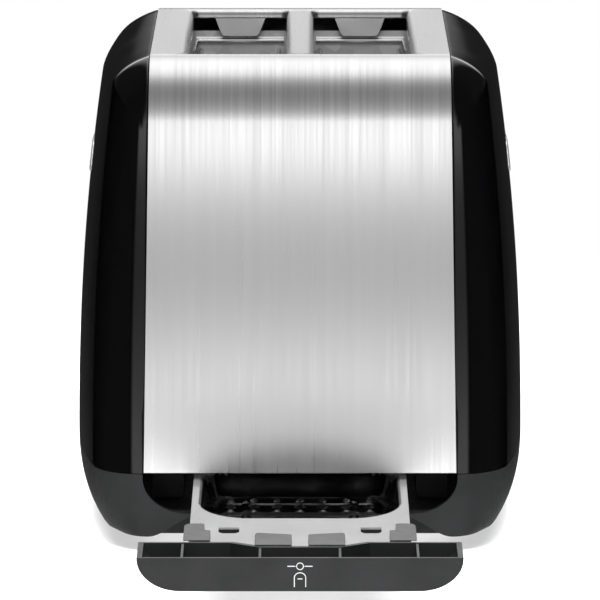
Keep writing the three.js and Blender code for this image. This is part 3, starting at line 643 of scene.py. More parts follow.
def form_solid(name, bottom, top, inset=0.0, levels=16):
    heights = [bottom + (top - bottom) * i / levels for i in range(levels + 1)]
    rings = [form_ring(z, inset) for z in heights]
    count = len(rings[0])
    points = [(x, y, z) for ring, z in zip(rings, heights) for x, y in ring]
    faces = [tuple(range(count)), tuple(range(levels * count, (levels + 1) * count))]
    for i in range(levels):
        faces += ring_faces(i * count, (i + 1) * count, count)
    return mesh_object(name, points, faces)


# ---------- base ----------
SCOOP_HALF = 57.5
SCOOP_DEPTH = 8.0
SCOOP_ROOF = 1.1
TRAY_GAP = 1.3
RUNNER_PLACE = 28.5  # the low ribs that the tray slides on


def base_tub():
    tub = form_solid("base_shell", BASE_BOTTOM, BASE_TOP)
    hollow = form_solid("hollow", FLOOR_TOP, BASE_TOP + 2, inset=BASE_WALL)
    tub = boolean(tub, hollow, "DIFFERENCE")
    half = TRAY_HIGH.x + TRAY_GAP
    opening = trough(half, FLOOR_TOP, BASE_TOP + 1, 18, 14)
    ahead = -HALF_LENGTH - 20
    tub = boolean(tub, extrude("opening", opening, "y", ahead, -HALF_LENGTH + BASE_WALL * 3), "DIFFERENCE")
    up = FLOOR_TOP - SCOOP_ROOF - BASE_BOTTOM
    rise = [(i / 24) ** 2 * (3 - 2 * i / 24) for i in range(25)]
    half_scoop = [(SCOOP_HALF + 2 - 19 * i / 24, BASE_BOTTOM + up * share) for i, share in enumerate(rise)]
    scoop = [(-SCOOP_HALF - 2, BASE_BOTTOM - 1), (SCOOP_HALF + 2, BASE_BOTTOM - 1)] + half_scoop
    scoop += [(-x, z) for x, z in reversed(half_scoop)]
    tub = boolean(tub, extrude("scoop", scoop, "y", ahead, -HALF_LENGTH + SCOOP_DEPTH), "DIFFERENCE")
    plate_low, plate_high = mm_box("bottom_plate")
    recess = rounded(plate_low.x - GAP, plate_high.x + GAP, plate_low.y - GAP, plate_high.y + GAP, 14)
    tub = boolean(tub, extrude("recess", recess, "z", BASE_BOTTOM - 1, FLOOR_TOP - BASE_WALL), "DIFFERENCE")
    inlet_low, inlet_high = mm_box("cord_inlet")
    centre_x, centre_z = (inlet_low.x + inlet_high.x) / 2, (inlet_low.z + inlet_high.z) / 2
    radius = 5.5 + GAP
    hole = arc(centre_x, centre_z, radius, radius, 0, 360, 32)[:-1]
    tub = boolean(tub, extrude("hole", hole, "y", HALF_LENGTH - 12, HALF_LENGTH + 5), "DIFFERENCE")
    for x in (-RUNNER_PLACE, RUNNER_PLACE):
        runner = box_piece("runner", x - 1.5, x + 1.5, -HALF_LENGTH + 40, HALF_LENGTH - 25,
                           FLOOR_TOP - 0.5, FLOOR_TOP + 1.6)
        tub = boolean(tub, runner, "UNION")
    bevel(tub, 0.9, 4, 35)
    return finish_piece(tub, "body", "dark_plastic", ["base_tub"])


# ---------- steel cover ----------
LIP_RADIUS = 2.6
LIP_DEPTH = 3.2
LIP_SKIRT = 7.0
TONGUE_EDGE = ((10.9, 0.4), (9.9, -2.0), (8.9, -4.6), (8.0, -6.8), (7.0, -8.2))  # half width at each height
BEAD_HEIGHT = 179.9


def button_holes(inset, radius):
    """Outlines inside the four push buttons' flanges."""
    boxes = [mm_box(f"push_button_{n}") for n in range(1, 5)]
    return [rounded(a.x + inset, b.x - inset, a.z + inset, b.z - inset, radius) for a, b in boxes]


def dial_height():
    low, high = mm_box("browning_dial")
    return (low.z + high.z) / 2


def slot_ring(side, grow, height, count=10):
    centre = side * SLOT_CENTRE
    half = SLOT_WIDTH / 2 + grow
    front, back = SLOT_FRONT - grow, SLOT_FRONT + SLOT_LENGTH + grow
    outline = rounded(centre - half, centre + half, front, back, 2.6 + grow, count)
    return [(x, y, height) for x, y in outline]


def steel_cover():
    """The bent strip: two upright ends, two bends and a flat top whose slots have rolled lips."""
    foot = COVER_LOW.z
    flat_front, flat_back = -HALF_LENGTH + BEND, HALF_LENGTH - REAR_BEND_ALONG
    across = 24
    points, faces = [], []

    def add_row(y, z):
        half = strip_at(z)
        start = len(points)
        points.extend((half * (2 * i / across - 1), y, z) for i in range(across + 1))
        return start

    def sweep(stations):
        rows = [add_row(y, z) for y, z in stations]
        for a, b in zip(rows, rows[1:]):
            faces.extend((a + i, a + i + 1, b + i + 1, b + i) for i in range(across))
        return rows

    low = TOP - BEND
    front = [(-HALF_LENGTH, foot + (low - foot) * i / 20) for i in range(20)]
    front += [(y, z) for y, z in arc(flat_front, low, BEND, BEND, 180, 90, 40)]
    sweep(front)
    rear_low = TOP - REAR_BEND_DOWN
    rear = arc(flat_back, rear_low, REAR_BEND_ALONG, REAR_BEND_DOWN, 90, 0, 44)
    rear += [(HALF_LENGTH, rear_low - (rear_low - foot) * i / 20) for i in range(1, 21)]
    sweep(rear)
    # The rolled lips of the slots; the flat top is then filled in round them.
    rings = []
    for side in (-1, 1):
        rows = []
        for step in range(7):
            turn = math.radians(90 * step / 6)
            grow, drop = LIP_RADIUS * (1 - math.sin(turn)), LIP_RADIUS * (1 - math.cos(turn))
            rows.append(slot_ring(side, grow, TOP - drop))
        rows.append(slot_ring(side, 0, TOP - LIP_DEPTH))
        starts = []
        for row in rows:
            starts.append(len(points))
            points.extend(row)
        count = len(rows[0])
        for a, b in zip(starts, starts[1:]):
            faces.extend(ring_faces(a, b, count))
        rings.append((starts[0], count))
    edge = [(-STRIP_TOP, flat_front), (STRIP_TOP, flat_front),
            (STRIP_TOP, flat_back), (-STRIP_TOP, flat_back)]
    subdivided = []
    for (xa, ya), (xb, yb) in zip(edge, edge[1:] + edge[:1]):
        steps = across if ya == yb else 40
        subdivided += [(xa + (xb - xa) * i / steps, ya + (yb - ya) * i / steps) for i in range(steps)]
    outer_start = len(points)
    points.extend((x, y, TOP) for x, y in subdivided)
    cover = mesh_object("cover", points, faces)
    work = bmesh.new()
    work.from_mesh(cover.data)
    work.verts.ensure_lookup_table()
    loops = [(outer_start, len(subdivided))] + rings
    border = []
    for start, count in loops:
        for k in range(count):
            pair = (work.verts[start + k], work.verts[start + (k + 1) % count])
            border.append(work.edges.get(pair) or work.edges.new(pair))
    bmesh.ops.triangle_fill(work, edges=border, use_beauty=True, use_dissolve=False)
    bmesh.ops.remove_doubles(work, verts=work.verts, dist=0.002 * MM)
    bmesh.ops.recalc_face_normals(work, faces=work.faces)
    work.to_mesh(cover.data)
    work.free()
    thick = cover.modifiers.new("sheet", "SOLIDIFY")
    thick.thickness = COVER_SHEET * MM
    thick.offset = -1
    bake(cover)
    arm_low, arm_high = mm_box("lever_arm")
    slack = 2.0
    x0, x1 = arm_low.x - slack, arm_high.x + slack
    z0, z1 = arm_low.z - LEVER_TRAVEL - slack, arm_high.z + slack
    holes = [[(x0, z0), (x1, z0), (x1, z1), (x0, z1)], *button_holes(0.8, 3)]
    holes.append(arc(0, dial_height(), 3.6, 3.6, 0, 360, 24)[:-1])
    for outline in holes:
        boolean(cover, extrude("hole", outline, "y", HALF_LENGTH - 3, HALF_LENGTH + 3), "DIFFERENCE")
    return finish_piece(cover, "body", "brushed_steel", ["steel_cover"], angle=40)


def slot_trim():
    """Skirts along the slots' long edges, and tongues that reach from their ends to the chassis plates."""
    pieces = []
    front, back = SLOT_FRONT, SLOT_FRONT + SLOT_LENGTH
    for side in (-1, 1):
        c = side * SLOT_CENTRE
        top = TOP - LIP_RADIUS
        for edge in (-1, 1):
            x0 = c + edge * SLOT_WIDTH / 2
            x1 = x0 + edge * COVER_SHEET
            x0, x1 = sorted((x0, x1))
            pieces.append(box_piece("skirt", x0, x1, front + 4, back - 4, TOP - LIP_SKIRT, top))
        edge_line = [(u, top + v) for u, v in TONGUE_EDGE]
        outline = [(c + u, z) for u, z in edge_line] + [(c - u, z) for u, z in reversed(edge_line)]
        for y0, y1 in ((front - 1.0, front - 0.1), (back + 0.1, back + 1.0)):
            pieces.append(extrude("tongue", outline, "y", y0, y1))
    trim = joined("slot_trim", pieces)
    bevel(trim, 0.3, 2)
    return finish_piece(trim, "body", "brushed_steel", material=PRESSED)


def rear_flanges():
    """Rolled flanges and beads on the rear chassis plate, seen down the slots, and the rims beside them."""
    pieces = []
    plate = SLOT_FRONT + SLOT_LENGTH + 3
    for side in (-1, 1):
        inner, outer = SLOT_BRIDGE / 2 + 1.2, SLOT_BRIDGE / 2 + SLOT_WIDTH - 1.0
        xs = [side * (inner + (outer - inner) * i / 12) for i in range(13)]
        pieces.append(tube("bead", [(x, plate - 0.1, BEAD_HEIGHT) for x in xs], 1.1, 12))
        roll = arc(plate + 3.2, 180.4, 3.4, 3.0, 180, 90, 12)
        strip = roll + [(plate + 8, 183.4), (plate + 8, 182.6)] + [(y, z - 0.8) for y, z in reversed(roll)]
        pieces.append(extrude("flange", strip, "x", min(xs), max(xs)))
        rim = [(side * (outer - 0.6), plate - 1, 180.2), (side * (outer - 0.2), plate - 20, 181.2),
               (side * (outer + 0.1), plate - 60, 182.2)]
        pieces.append(tube("rim", rim, 0.6, 8))
    flanges = joined("rear_flanges", pieces)
    return finish_piece(flanges, "body", "sheet_steel", material=PRESSED, angle=50)


# ---------- crumb tray ----------
TRAY_WALL = 2.0
TRAY_CORNER_ACROSS = 16.0  # lower corners of the tray front
TRAY_CORNER_UP = 12.0
NOTCH_DEPTH = 10.0
RIBS = (14.8, 43.6)
PAN_SLOT_PLACE = 26.7


def tray_front():
    half, y0, y1 = TRAY_HIGH.x, TRAY_LOW.y + 0.15, TRAY_HIGH.y
    bottom, top = TRAY_LOW.z, TRAY_HIGH.z
    depth = y1 - y0
    notch = depth - NOTCH_DEPTH

    def plan(inset):
        side, back, step = half - inset, depth - inset, notch - inset
        corners = [(-side, inset), (side, inset), (side, back), (26, back),
                   (15, step), (-15, step), (-26, back), (-side, back)]
        return [(x, y0 + y) for x, y in corners]

    outer = extrude("tray_box", trough(half, bottom, top, TRAY_CORNER_ACROSS, TRAY_CORNER_UP), "y", y0, y1)
    boolean(outer, extrude("plan", plan(0), "z", bottom - 1, top + 1), "INTERSECT")
    inside = trough(half - TRAY_WALL, bottom + TRAY_WALL, top + 2, TRAY_CORNER_ACROSS - 1, TRAY_CORNER_UP - 1)
    hollow = extrude("hollow", inside, "y", y0 - 1, y1 + 1)
    boolean(hollow, extrude("plan", plan(TRAY_WALL), "z", bottom - 1, top + 3), "INTERSECT")
    boolean(outer, hollow, "DIFFERENCE")
    for x in (-RIBS[1], -RIBS[0], RIBS[0], RIBS[1]):
        reach = notch if abs(x) < 20 else depth
        rib = box_piece("rib", x - 0.45, x + 0.45, y0 + 1, y0 + reach - 1, bottom + 3, top - 0.3)
        boolean(outer, rib, "UNION")
    bevel(outer, 0.45, 3, 32)
    finish_piece(outer, "tray", "dark_plastic", ["tray_front"])
    # Upward faces along the top take the lighter rim plastic, a painted highlight where light falls on the
    # rim.
    outer.data.materials.append(RIM_PAINTED_HIGHLIGHT)
    for face in outer.data.polygons:
        if face.normal.z > 0.7 and face.center.z > (top - 1) * MM:
            face.material_index = 1
    return outer


def tray_hooks():
    """Dark catches under the pan's two slots, which hold it to the tray."""
    front = TRAY_HIGH.y + GAP
    top = PAN_HIGH.z - SHEET
    pieces = []
    for side in (-1, 1):
        x = side * PAN_SLOT_PLACE
        pieces.append(box_piece("hook", x - 5, x + 5, front + 18.6, front + 34, top - 4.2, top - 3.0))
        pieces.append(box_piece("lug", x - 4.4, x + 4.4, front + 33.1, front + 34.6, top - 3.4, top - 0.05))
    hooks = joined("tray_hooks", pieces)
    bevel(hooks, 0.3, 2)
    return finish_piece(hooks, "tray", "dark_plastic")


def printed_sign(name, strokes, y, radius, body, slot):
    """Fine pale lines on an upright face, from outlines in x and z, each open or closed."""
    pieces = [tube("stroke", [(u, y, v) for u, v in path], radius, 6, closed) for path, closed in strokes]
    return finish_piece(joined(name, pieces), body, slot, material=PRINT, angle=60)


def press_icon():
    """A plain printed sign on the tray's face: a ring on a line over a pressing fingertip."""
    y = TRAY_LOW.y + 0.2
    z = (TRAY_LOW.z + TRAY_HIGH.z) / 2
    line = z + 3.1
    finger = [(-2.1, z - 4.6), (-2.1, z - 1.4)] + arc(0, z - 1.2, 2.1, 1.9, 180, 0, 16)
    finger += [(2.1, z - 1.4), (2.1, z - 4.6)]
    strokes = [([(-4.6, line), (-1.7, line)], False), ([(1.7, line), (4.6, line)], False),
               (arc(0, line, 1.25, 1.25, 0, 360, 24)[:-1], True), (finger, False),
               ([(-0.9, z - 1.6), (0.9, z - 1.6)], False)]
    return printed_sign("press_icon", strokes, y, 0.2, "tray", "pale_plastic")


DISH_ACROSS = 19.5
DISH_ALONG = 40.0
PAN_RIM = 2.5
PAN_FLANGE = 54.7
PAN_DEPTH = 11.0
DIMPLE_ROWS = (-141.0, -127.0, -113.0)


def dish_distance(x, y):
    """Distance in from the dish's edge, below zero outside it; front corners are long ellipses."""
    half = PAN_HIGH.x - PAN_RIM
    front = TRAY_HIGH.y + GAP + PAN_FLANGE
    back = PAN_HIGH.y - PAN_RIM
    side = half - abs(x)
    ahead = y - front
    behind = back - y
    corner = 14.0
    if ahead < DISH_ALONG and side < DISH_ACROSS:
        u, v = (DISH_ACROSS - side) / DISH_ACROSS, (DISH_ALONG - ahead) / DISH_ALONG
        reach = math.hypot(u, v)
        slope = math.hypot(u / DISH_ACROSS, v / DISH_ALONG) / max(reach, 1e-6)
        return (1 - reach) / max(slope, 1e-6)
    if behind < corner and side < corner:
        return corner - math.hypot(corner - side, corner - behind)
    return min(side, ahead, behind)


def dish_height(x, y):
    """A pressed wall with a rolled rim, low ribs across and along its floor, and rows of dimples."""
    inside = dish_distance(x, y)
    t = min(1.0, max(0.0, inside / 5.0))
    height = -(PAN_DEPTH - SHEET) * (t * t * (3 - 2 * t))
    if inside > 7:
        fade = min(1.0, (inside - 7) / 4)
        height += 0.5 * fade * (0.5 + 0.5 * math.cos(y * 2 * math.pi / 24)) ** 6
        for centre in DIMPLE_ROWS:
            dx = (x + 4.5) % 9 - 4.5
            reach = math.hypot(dx, (y - centre) * 0.8)
            height += 1.1 * fade * max(0.0, 1 - (reach / 2.0) ** 2) * (abs(x) < 30)
        for rail in (-21.0, 21.0):
            height += 0.8 * fade * max(0.0, 1 - ((x - rail) / 1.8) ** 2)
    return height


def tray_pan():
    x_lines = np.linspace(PAN_LOW.x, PAN_HIGH.x, 97)
    front = TRAY_HIGH.y + GAP
    finer = front + 48  # closer lines from just ahead of the dish
    y_lines = np.concatenate([np.linspace(front, finer, 25)[:-1], np.linspace(finer, PAN_HIGH.y, 140)])
    top = PAN_HIGH.z
    points = [(x, y, top + dish_height(x, y)) for y in y_lines for x in x_lines]
    under = [(x, y, z - SHEET) for x, y, z in points]
    pan = grid_solid("pan", points, under, len(x_lines), len(y_lines))
    for side in (-1, 1):
        centre = side * PAN_SLOT_PLACE
        y0 = front + 19.5
        slot = [(centre - 2.6, y0), (centre + 2.6, y0), (centre + 3.9, y0 + 3), (centre + 3.9, y0 + 13.5),
                (centre - 3.9, y0 + 13.5), (centre - 3.9, y0 + 3)]
        boolean(pan, extrude("slot", slot, "z", top - 3, top + 3), "DIFFERENCE")
    y0, y1 = PAN_LOW.y + 0.1, front + 0.6
    tongue = [(-25.5, y1), (-14.6, y0), (14.6, y0), (25.5, y1)]
    boolean(pan, extrude("tongue", tongue, "z", top - SHEET, top), "UNION")
    finish_piece(pan, "tray", "brushed_steel", ["tray_pan"], material=PRESSED)
    pan.data.materials.append(DISH)
    for face in pan.data.polygons:
        if face.center.z < (top - SHEET - 0.6) * MM:
            face.material_index = 1
    return pan


def tray_clip(node, side, outline):
    """A clip from its plan outline, with its front edge ramped down to the tray."""
    low, high = mm_box(node)
    clip = extrude("clip", [(side * x, y) for x, y in outline], "z", low.z, high.z)
    y0, y1 = low.y - 1, low.y + 4.5
    ramp = [(y0, high.z + 1), (y0, low.z + 0.3), (y1, high.z + 0.01), (y1, high.z + 1)]
    boolean(clip, extrude("ramp", ramp, "x", -120, 120), "DIFFERENCE")
    bevel(clip, 0.35, 2, 40)
    return finish_piece(clip, "tray", "grey_plastic", [node], angle=45)


def corner_clip(side):
    """A flat catch over the pan's front corner, wide at the tray and stepped to a narrow finger."""
    node = f"tray_clip_{hand_of(side)}"
    low, high = mm_box(node)
    out, reach = (high.x, low.x) if side > 0 else (-low.x, -high.x)
    y0, y1 = low.y, high.y
    step_y = y0 + 15.6
    outline = [(out, y0), (out - 0.1, y1 - 4.2), (out - 0.9, y1 - 1.2), (out - 3.0, y1), (reach + 3.4, y1),
               (reach + 2.4, y1 - 1.0), (reach + 2.2, step_y + 1.0), (reach + 1.8, step_y + 0.3),
               (reach + 0.7, step_y), (reach, step_y - 0.7), (reach, y0)]
    return tray_clip(node, side, outline)


def centre_clip(side):
    node = f"tray_clip_centre_{hand_of(side)}"
    low, high = mm_box(node)
    inner, outer = sorted((abs(low.x), abs(high.x)))
    outline = [(inner, low.y), (outer, low.y), (outer, high.y - 2.4), (outer - 0.8, high.y),
               (inner + 0.8, high.y - 3.4), (inner, high.y - 4.4)]
    return tray_clip(node, side, outline)


# ---------- sides ----------
BADGE_COLUMNS, BADGE_ROWS = 41, 19
BADGE_ROUND = 4.0
BAR_ROWS = (6, 12)


def badge(side):
    """A slim metal plate laid on the side shell, with a plain raised rim and two pressed bars."""
    hand = hand_of(side)
    low, high = mm_box(f"badge_{hand}")
    centre = (low.z + high.z) / 2
    half_y, half_z = (high.y - low.y) / 2 - 0.4, (high.z - low.z) / 2 - 0.4

    def surface(y, z, lift):
        bow = SIDE_BOW * (abs(y) / (HALF_LENGTH - CORNER_ALONG)) ** 2
        return (side * (narrowed(HALF_WIDTH - bow, centre + z) + lift), y, centre + z)

    def place_at(u, v):
        """A grid place drawn into the rounded outline."""
        y, z = u * half_y, v * half_z
        over_y, over_z = abs(y) - (half_y - BADGE_ROUND), abs(z) - (half_z - BADGE_ROUND)
        if over_y > 0 and over_z > 0:
            reach = max(over_y, over_z) / max(math.hypot(over_y, over_z), 1e-6)
            y = math.copysign(half_y - BADGE_ROUND + over_y * reach, y)
            z = math.copysign(half_z - BADGE_ROUND + over_z * reach, z)
        return y, z

    front, back = [], []
    for i in range(BADGE_COLUMNS):
        for j in range(BADGE_ROWS):
            u, v = 2 * i / (BADGE_COLUMNS - 1) - 1, 2 * j / (BADGE_ROWS - 1) - 1
            edge = min(1.0, min(1 - abs(u), (1 - abs(v)) * 0.5) * 12)
            rim = 0.12 if max(abs(u) * 1.03, abs(v) * 0.98) > 0.86 else 0.0
            bar = 0.1 if j in BAR_ROWS and abs(u) < 0.7 else 0.0
            front.append(surface(*place_at(u, v), 0.1 + 0.42 * edge ** 0.5 + rim + bar))
            back.append(surface(*place_at(u, v), 0.02))
    plate = grid_solid(f"badge_plate_{hand}", front, back, BADGE_ROWS, BADGE_COLUMNS)
    return finish_piece(plate, "body", "brushed_steel", [f"badge_{hand}"], material=PRESSED, angle=50)


# ---------- toast guides, carriage and spring ----------
GUIDE_WIRES = 8
GUIDE_RADIUS = 1.0
GUIDE_FOOT = 52.0
GUIDE_HEIGHT = 126.0


def toast_guide(name):
    low, high = mm_box(f"toast_guide_{name}")
    x = (low.x + high.x) / 2
    front, back = SLOT_FRONT + 6, SLOT_FRONT + SLOT_LENGTH - 6
    top = high.z - GUIDE_RADIUS
    pivot = [(x, low.y + 0.1, GUIDE_FOOT), (x, high.y - 0.1, GUIDE_FOOT)]
    pieces = [tube("pivot", pivot, GUIDE_RADIUS * 0.95, 12)]
    middle = GUIDE_FOOT + GUIDE_HEIGHT * 0.45
    pieces.append(tube("middle", [(x, front, middle), (x, back, middle)], GUIDE_RADIUS * 0.8, 12))
    r = 4.0
    loop = [(x, front, GUIDE_FOOT)] + [(x, y, z) for y, z in arc(front + r, top - r, r, r, 180, 90, 8)]
    loop += [(x, y, z) for y, z in arc(back - r, top - r, r, r, 90, 0, 8)] + [(x, back, GUIDE_FOOT)]
    pieces.append(tube("loop", loop, GUIDE_RADIUS * 0.9, 12))
    for i in range(1, GUIDE_WIRES - 1):
        y = front + (back - front) * i / (GUIDE_WIRES - 1)
        pieces.append(tube("wire", [(x, y, GUIDE_FOOT), (x, y, top)], GUIDE_RADIUS * 0.75, 10))
    guide = joined(f"guide_wires_{name}", pieces)
    return finish_piece(guide, f"guide_{name}", "bright_wire", [f"toast_guide_{name}"], angle=60)


def spring():
    """The extension spring: a fixed coil that reaches from the shelf above to the carriage below."""
    low, high = mm_box("lift_spring")
    x, y = (low.x + high.x) / 2, (low.y + high.y) / 2
    wire, radius = 0.55, (high.x - low.x) / 2 - 0.6
    bottom, top = low.z + wire, high.z - wire
    turns, steps = 11, 28
    count = turns * steps
    path = []
    for i in range(count + 1):
        turn = 2 * math.pi * i / steps
        z = bottom + (top - bottom) * i / count
        path.append((x + radius * math.cos(turn), y + radius * math.sin(turn), z))
    coil = tube("spring_coil", path, wire, 8)
    coil.data.materials.append(LOOKS["bright_wire"])
    smooth(coil, 70)
    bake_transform(coil)
    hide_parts("lift_spring")


# ---------- control end ----------
def lever_knob():
    low, high = mm_box("lever_knob")
    middle = (low.z + high.z) / 2
    half = (high.z - low.z) / 2
    columns, rows = 28, 24
    depth = high.y - low.y
    rings = []
    for i in range(columns + 1):
        share = i / columns
        y = low.y + depth * share
        bulge = math.sqrt(max(0.0, 1 - (2 * share - 1) ** 4)) * 0.35 + 0.65
        outward, inward = max(0.0, (share - 0.8) / 0.2), max(0.0, (0.12 - share) / 0.12)
        end_round = 1 - outward ** 2.2 * 0.34 - inward ** 2 * 0.2
        wide = (high.x - low.x) / 2 * end_round
        tall = half * bulge * end_round
        power = 3.2
        ring = []
        for k in range(4 * rows):
            turn = 2 * math.pi * k / (4 * rows)
            c, d = math.cos(turn), math.sin(turn)
            ring.append((wide * math.copysign(abs(c) ** (2 / power), c), y,
                         middle + tall * math.copysign(abs(d) ** (2 / power), d)))
        rings.append(ring)
    points = [p for ring in rings for p in ring]
    n = 4 * rows
    faces = [tuple(range(n)), tuple(range(columns * n, (columns + 1) * n))]
    for i in range(columns):
        faces += ring_faces(i * n, (i + 1) * n, n)
    knob = mesh_object("knob_body", points, faces)
    for x in (-10, -5, 0, 5, 10):
        groove = box_piece("groove", x - 0.6, x + 0.6, low.y + 5, high.y - 3, high.z - 0.75, high.z + 1)
        boolean(knob, groove, "DIFFERENCE")
    return finish_piece(knob, "carriage", "gloss_black", ["lever_knob"], angle=40)


def browning_dial():
    low, high = mm_box("browning_dial")
    z = (low.z + high.z) / 2
    radius = (high.x - low.x) / 2
    back = high.y - 14.4
    profile = [(0.0, low.y), (2.9, low.y), (2.9, back + 0.2), (radius - 1.2, back + 0.2),
               (radius, back + 1.2), (radius, back + 2.2), (radius - 0.9, back + 2.8),
               (radius - 1.0, back + 10.4),
               (radius - 1.6, back + 11.4), (radius - 2.6, back + 11.9), (radius - 4.2, back + 11.7),
               (radius - 5.5, back + 11.2), (0.0, back + 11.2)]
    dial = turned("dial_body", profile, (0, 0, z), "y", 96)
    outline = [(-2, z - radius + 2.5), (2, z - radius + 2.5), (2, z + radius - 2.5), (-2, z + radius - 2.5)]
    grip = extrude("grip", outline, "y", back + 8, high.y)
    bevel(grip, 0.8, 4)
    bake(grip)
    boolean(dial, grip, "UNION")
    for i in range(40):
        turn = 2 * math.pi * i / 40
        x, dz = (radius - 0.7) * math.cos(turn), (radius - 0.7) * math.sin(turn)
        outline = arc(x, z + dz, 0.42, 0.42, 0, 360, 10)[:-1]
        boolean(dial, extrude("flute", outline, "y", back + 3.4, back + 12.6), "DIFFERENCE")
    finish_piece(dial, "dial", "gloss_black", ["browning_dial"], angle=35)
    outline = rounded(-0.35, 0.35, z + 2, z + radius - 3.2, 0.3, 3)
    line = extrude("pointer", outline, "y", high.y - 0.06, high.y - 0.01)
    finish_piece(line, "dial", "gloss_black", material=PRINT)


def dial_marks():
    """Plain ticks that lengthen round the dial, printed on the control panel."""
    low, high = mm_box("control_fascia")
    z = dial_height()
    pieces = []
    for i in range(7):
        turn = math.radians(225 - 45 * i)
        start, stop = 15.2, 16.4 + 0.28 * i
        c, d = math.cos(turn), math.sin(turn)
        half = 0.3 + 0.05 * i
        if z + stop * d < low.z + 1:
            continue
        corners = [(reach * c + edge * d, z + reach * d - edge * c)
                   for reach, edge in ((start, half), (stop, half), (stop, -half), (start, -half))]
        pieces.append(extrude("tick", corners, "y", high.y - 0.02, high.y + 0.05))
    marks = joined("dial_marks", pieces)
    return finish_piece(marks, "body", "pale_plastic", material=PRINT)


def control_fascia():
    low, high = mm_box("control_fascia")
    panel = extrude("panel", rounded(low.x, high.x, low.z, high.z, 10, 12), "y", low.y, high.y)
    arm_low, arm_high = mm_box("lever_arm")
    half = (arm_high.x - arm_low.x) / 2 + 1.6
    slot = rounded(-half, half, arm_low.z - LEVER_TRAVEL - 2, arm_high.z + 2, half * 0.95, 8)
    holes = [slot, *button_holes(1.1, 2.2), arc(0, dial_height(), 3.4, 3.4, 0, 360, 32)[:-1]]
    for outline in holes:
        boolean(panel, extrude("hole", outline, "y", low.y - 1, high.y + 1), "DIFFERENCE")
    outline = rounded(low.x + 3, high.x - 3, low.z + 3, high.z - 3, 8, 12)
    frame_line = extrude("line", outline, "y", high.y - 0.25, high.y + 1)
    outline = rounded(low.x + 3.6, high.x - 3.6, low.z + 3.6, high.z - 3.6, 7.5, 12)
    inner = extrude("inner", outline, "y", high.y - 1, high.y + 2)
    boolean(frame_line, inner, "DIFFERENCE")
    boolean(panel, frame_line, "DIFFERENCE")
    bevel(panel, 0.6, 4, 40)
    return finish_piece(panel, "body", "gloss_black", ["control_fascia"])


def button_sign(n, x, y, z):
    """A generic sign for each button: a ring, a snow star, a bar of bread and a stop cross."""
    star = [(1.7 * math.cos(a), 1.7 * math.sin(a)) for a in (0.0, math.pi / 3, 2 * math.pi / 3)]
    bread = [(-1.6, -1.5), (1.6, -1.5), (1.6, 0.9), (0.9, 1.5), (-0.9, 1.5), (-1.6, 0.9)]
    strokes = {
        1: [(arc(0, 0, 1.5, 1.5, 0, 360, 20)[:-1], True)],
        2: [([(-u, -v), (u, v)], False) for u, v in star],
        3: [(bread, True)],
        4: [([(-1.3, -1.3), (1.3, 1.3)], False), ([(-1.3, 1.3), (1.3, -1.3)], False)],
    }[n]
    moved = [([(x + u, z + v) for u, v in path], closed) for path, closed in strokes]
    return printed_sign(f"button_sign_{n}", moved, y, 0.18, f"button_{n}", "dark_plastic")


def push_button(n):
    low, high = mm_box(f"push_button_{n}")
    x, z = (low.x + high.x) / 2, (low.z + high.z) / 2
    half_x, half_z = (high.x - low.x) / 2 - 1.4, (high.z - low.z) / 2 - 1.4
    flange_front = HALF_LENGTH - COVER_SHEET - GAP
    outline = rounded(x - half_x, x + half_x, z - half_z, z + half_z, 2, 8)
    cap = extrude("cap", outline, "y", flange_front - 2, high.y)
    bevel(cap, 0.6, 4, 40)
    bake(cap)
    outline = rounded(low.x, high.x, low.z, high.z, 3, 8)
    boolean(cap, extrude("flange", outline, "y", flange_front - 1.6, flange_front), "UNION")
    end = flange_front - 1
    profile = [(0, low.y), (1.3, low.y), (1.6, low.y + 0.4), (1.6, end), (0, end)]
    stem = turned("stem", profile, (x, 0, z), "y", 20)
    button = joined(f"button_cap_{n}", [cap, stem])
    finish_piece(button, f"button_{n}", "dark_plastic", [f"push_button_{n}"], angle=35)
    button_sign(n, x, high.y, z)


# ---------- underside ----------
def foot(n):
    low, high = mm_box(f"foot_{n}")
    x, y = (low.x + high.x) / 2, (low.y + high.y) / 2
    r = (high.x - low.x) / 2
    profile = [(0, 0.4), (r - 3, 0.4), (r - 2.6, 0), (r - 0.8, 0), (r - 0.2, 0.5), (r, 2.0),
               (r - 0.4, 5.9), (r - 0.5, 6.4), (2, 6.5), (2, high.z), (0, high.z)]
    pad = turned(f"foot_pad_{n}", profile, (x, y, 0), "z", 48)
    return finish_piece(pad, "body", "rubber", [f"foot_{n}"], angle=40)


def base_screws():
    """Countersunk screws that hold the bottom plate, with plain cross recesses."""
    z = mm_box("bottom_plate")[0].z
    profile = [(0, z - 0.1), (2.6, z - 0.1), (3.1, z + 0.25), (3.1, z + 0.6), (0, z + 0.6)]
    pieces = []
    for x in (-44, 44):
        for y in (-92, 92):
            head = turned("head", profile, (x, y, 0), "z", 32)
            for u, v in ((0.35, 1.7), (1.7, 0.35)):
                boolean(head, box_piece("cross", x - u, x + u, y - v, y + v, z - 1, z + 0.2), "DIFFERENCE")
            pieces.append(head)
    screws = joined("base_screws", pieces)
    return finish_piece(screws, "body", "sheet_steel", angle=40)


# ---------- camera, light and floor ----------
CARD_AHEAD = 200.0
CAMERA_LENS = 479.04  # millimetres, on the sensor below
CAMERA_SENSOR = 36.0
CAMERA_AHEAD = 3.079  # metres ahead of the tray end
CAMERA_HEIGHT = 0.5165
CAMERA_DIP = 0.13476  # radians below the level


def camera():
    data = bpy.data.cameras.new("camera")
    data.sensor_width = CAMERA_SENSOR
    data.lens = CAMERA_LENS
    data.clip_end = 50.0
    thing = linked("camera", data)
    thing.location = (0.0, cover_low.y - CAMERA_AHEAD, CAMERA_HEIGHT)
    thing.rotation_euler = (math.radians(90) - CAMERA_DIP, 0.0, 0.0)
    bpy.context.scene.camera = thing


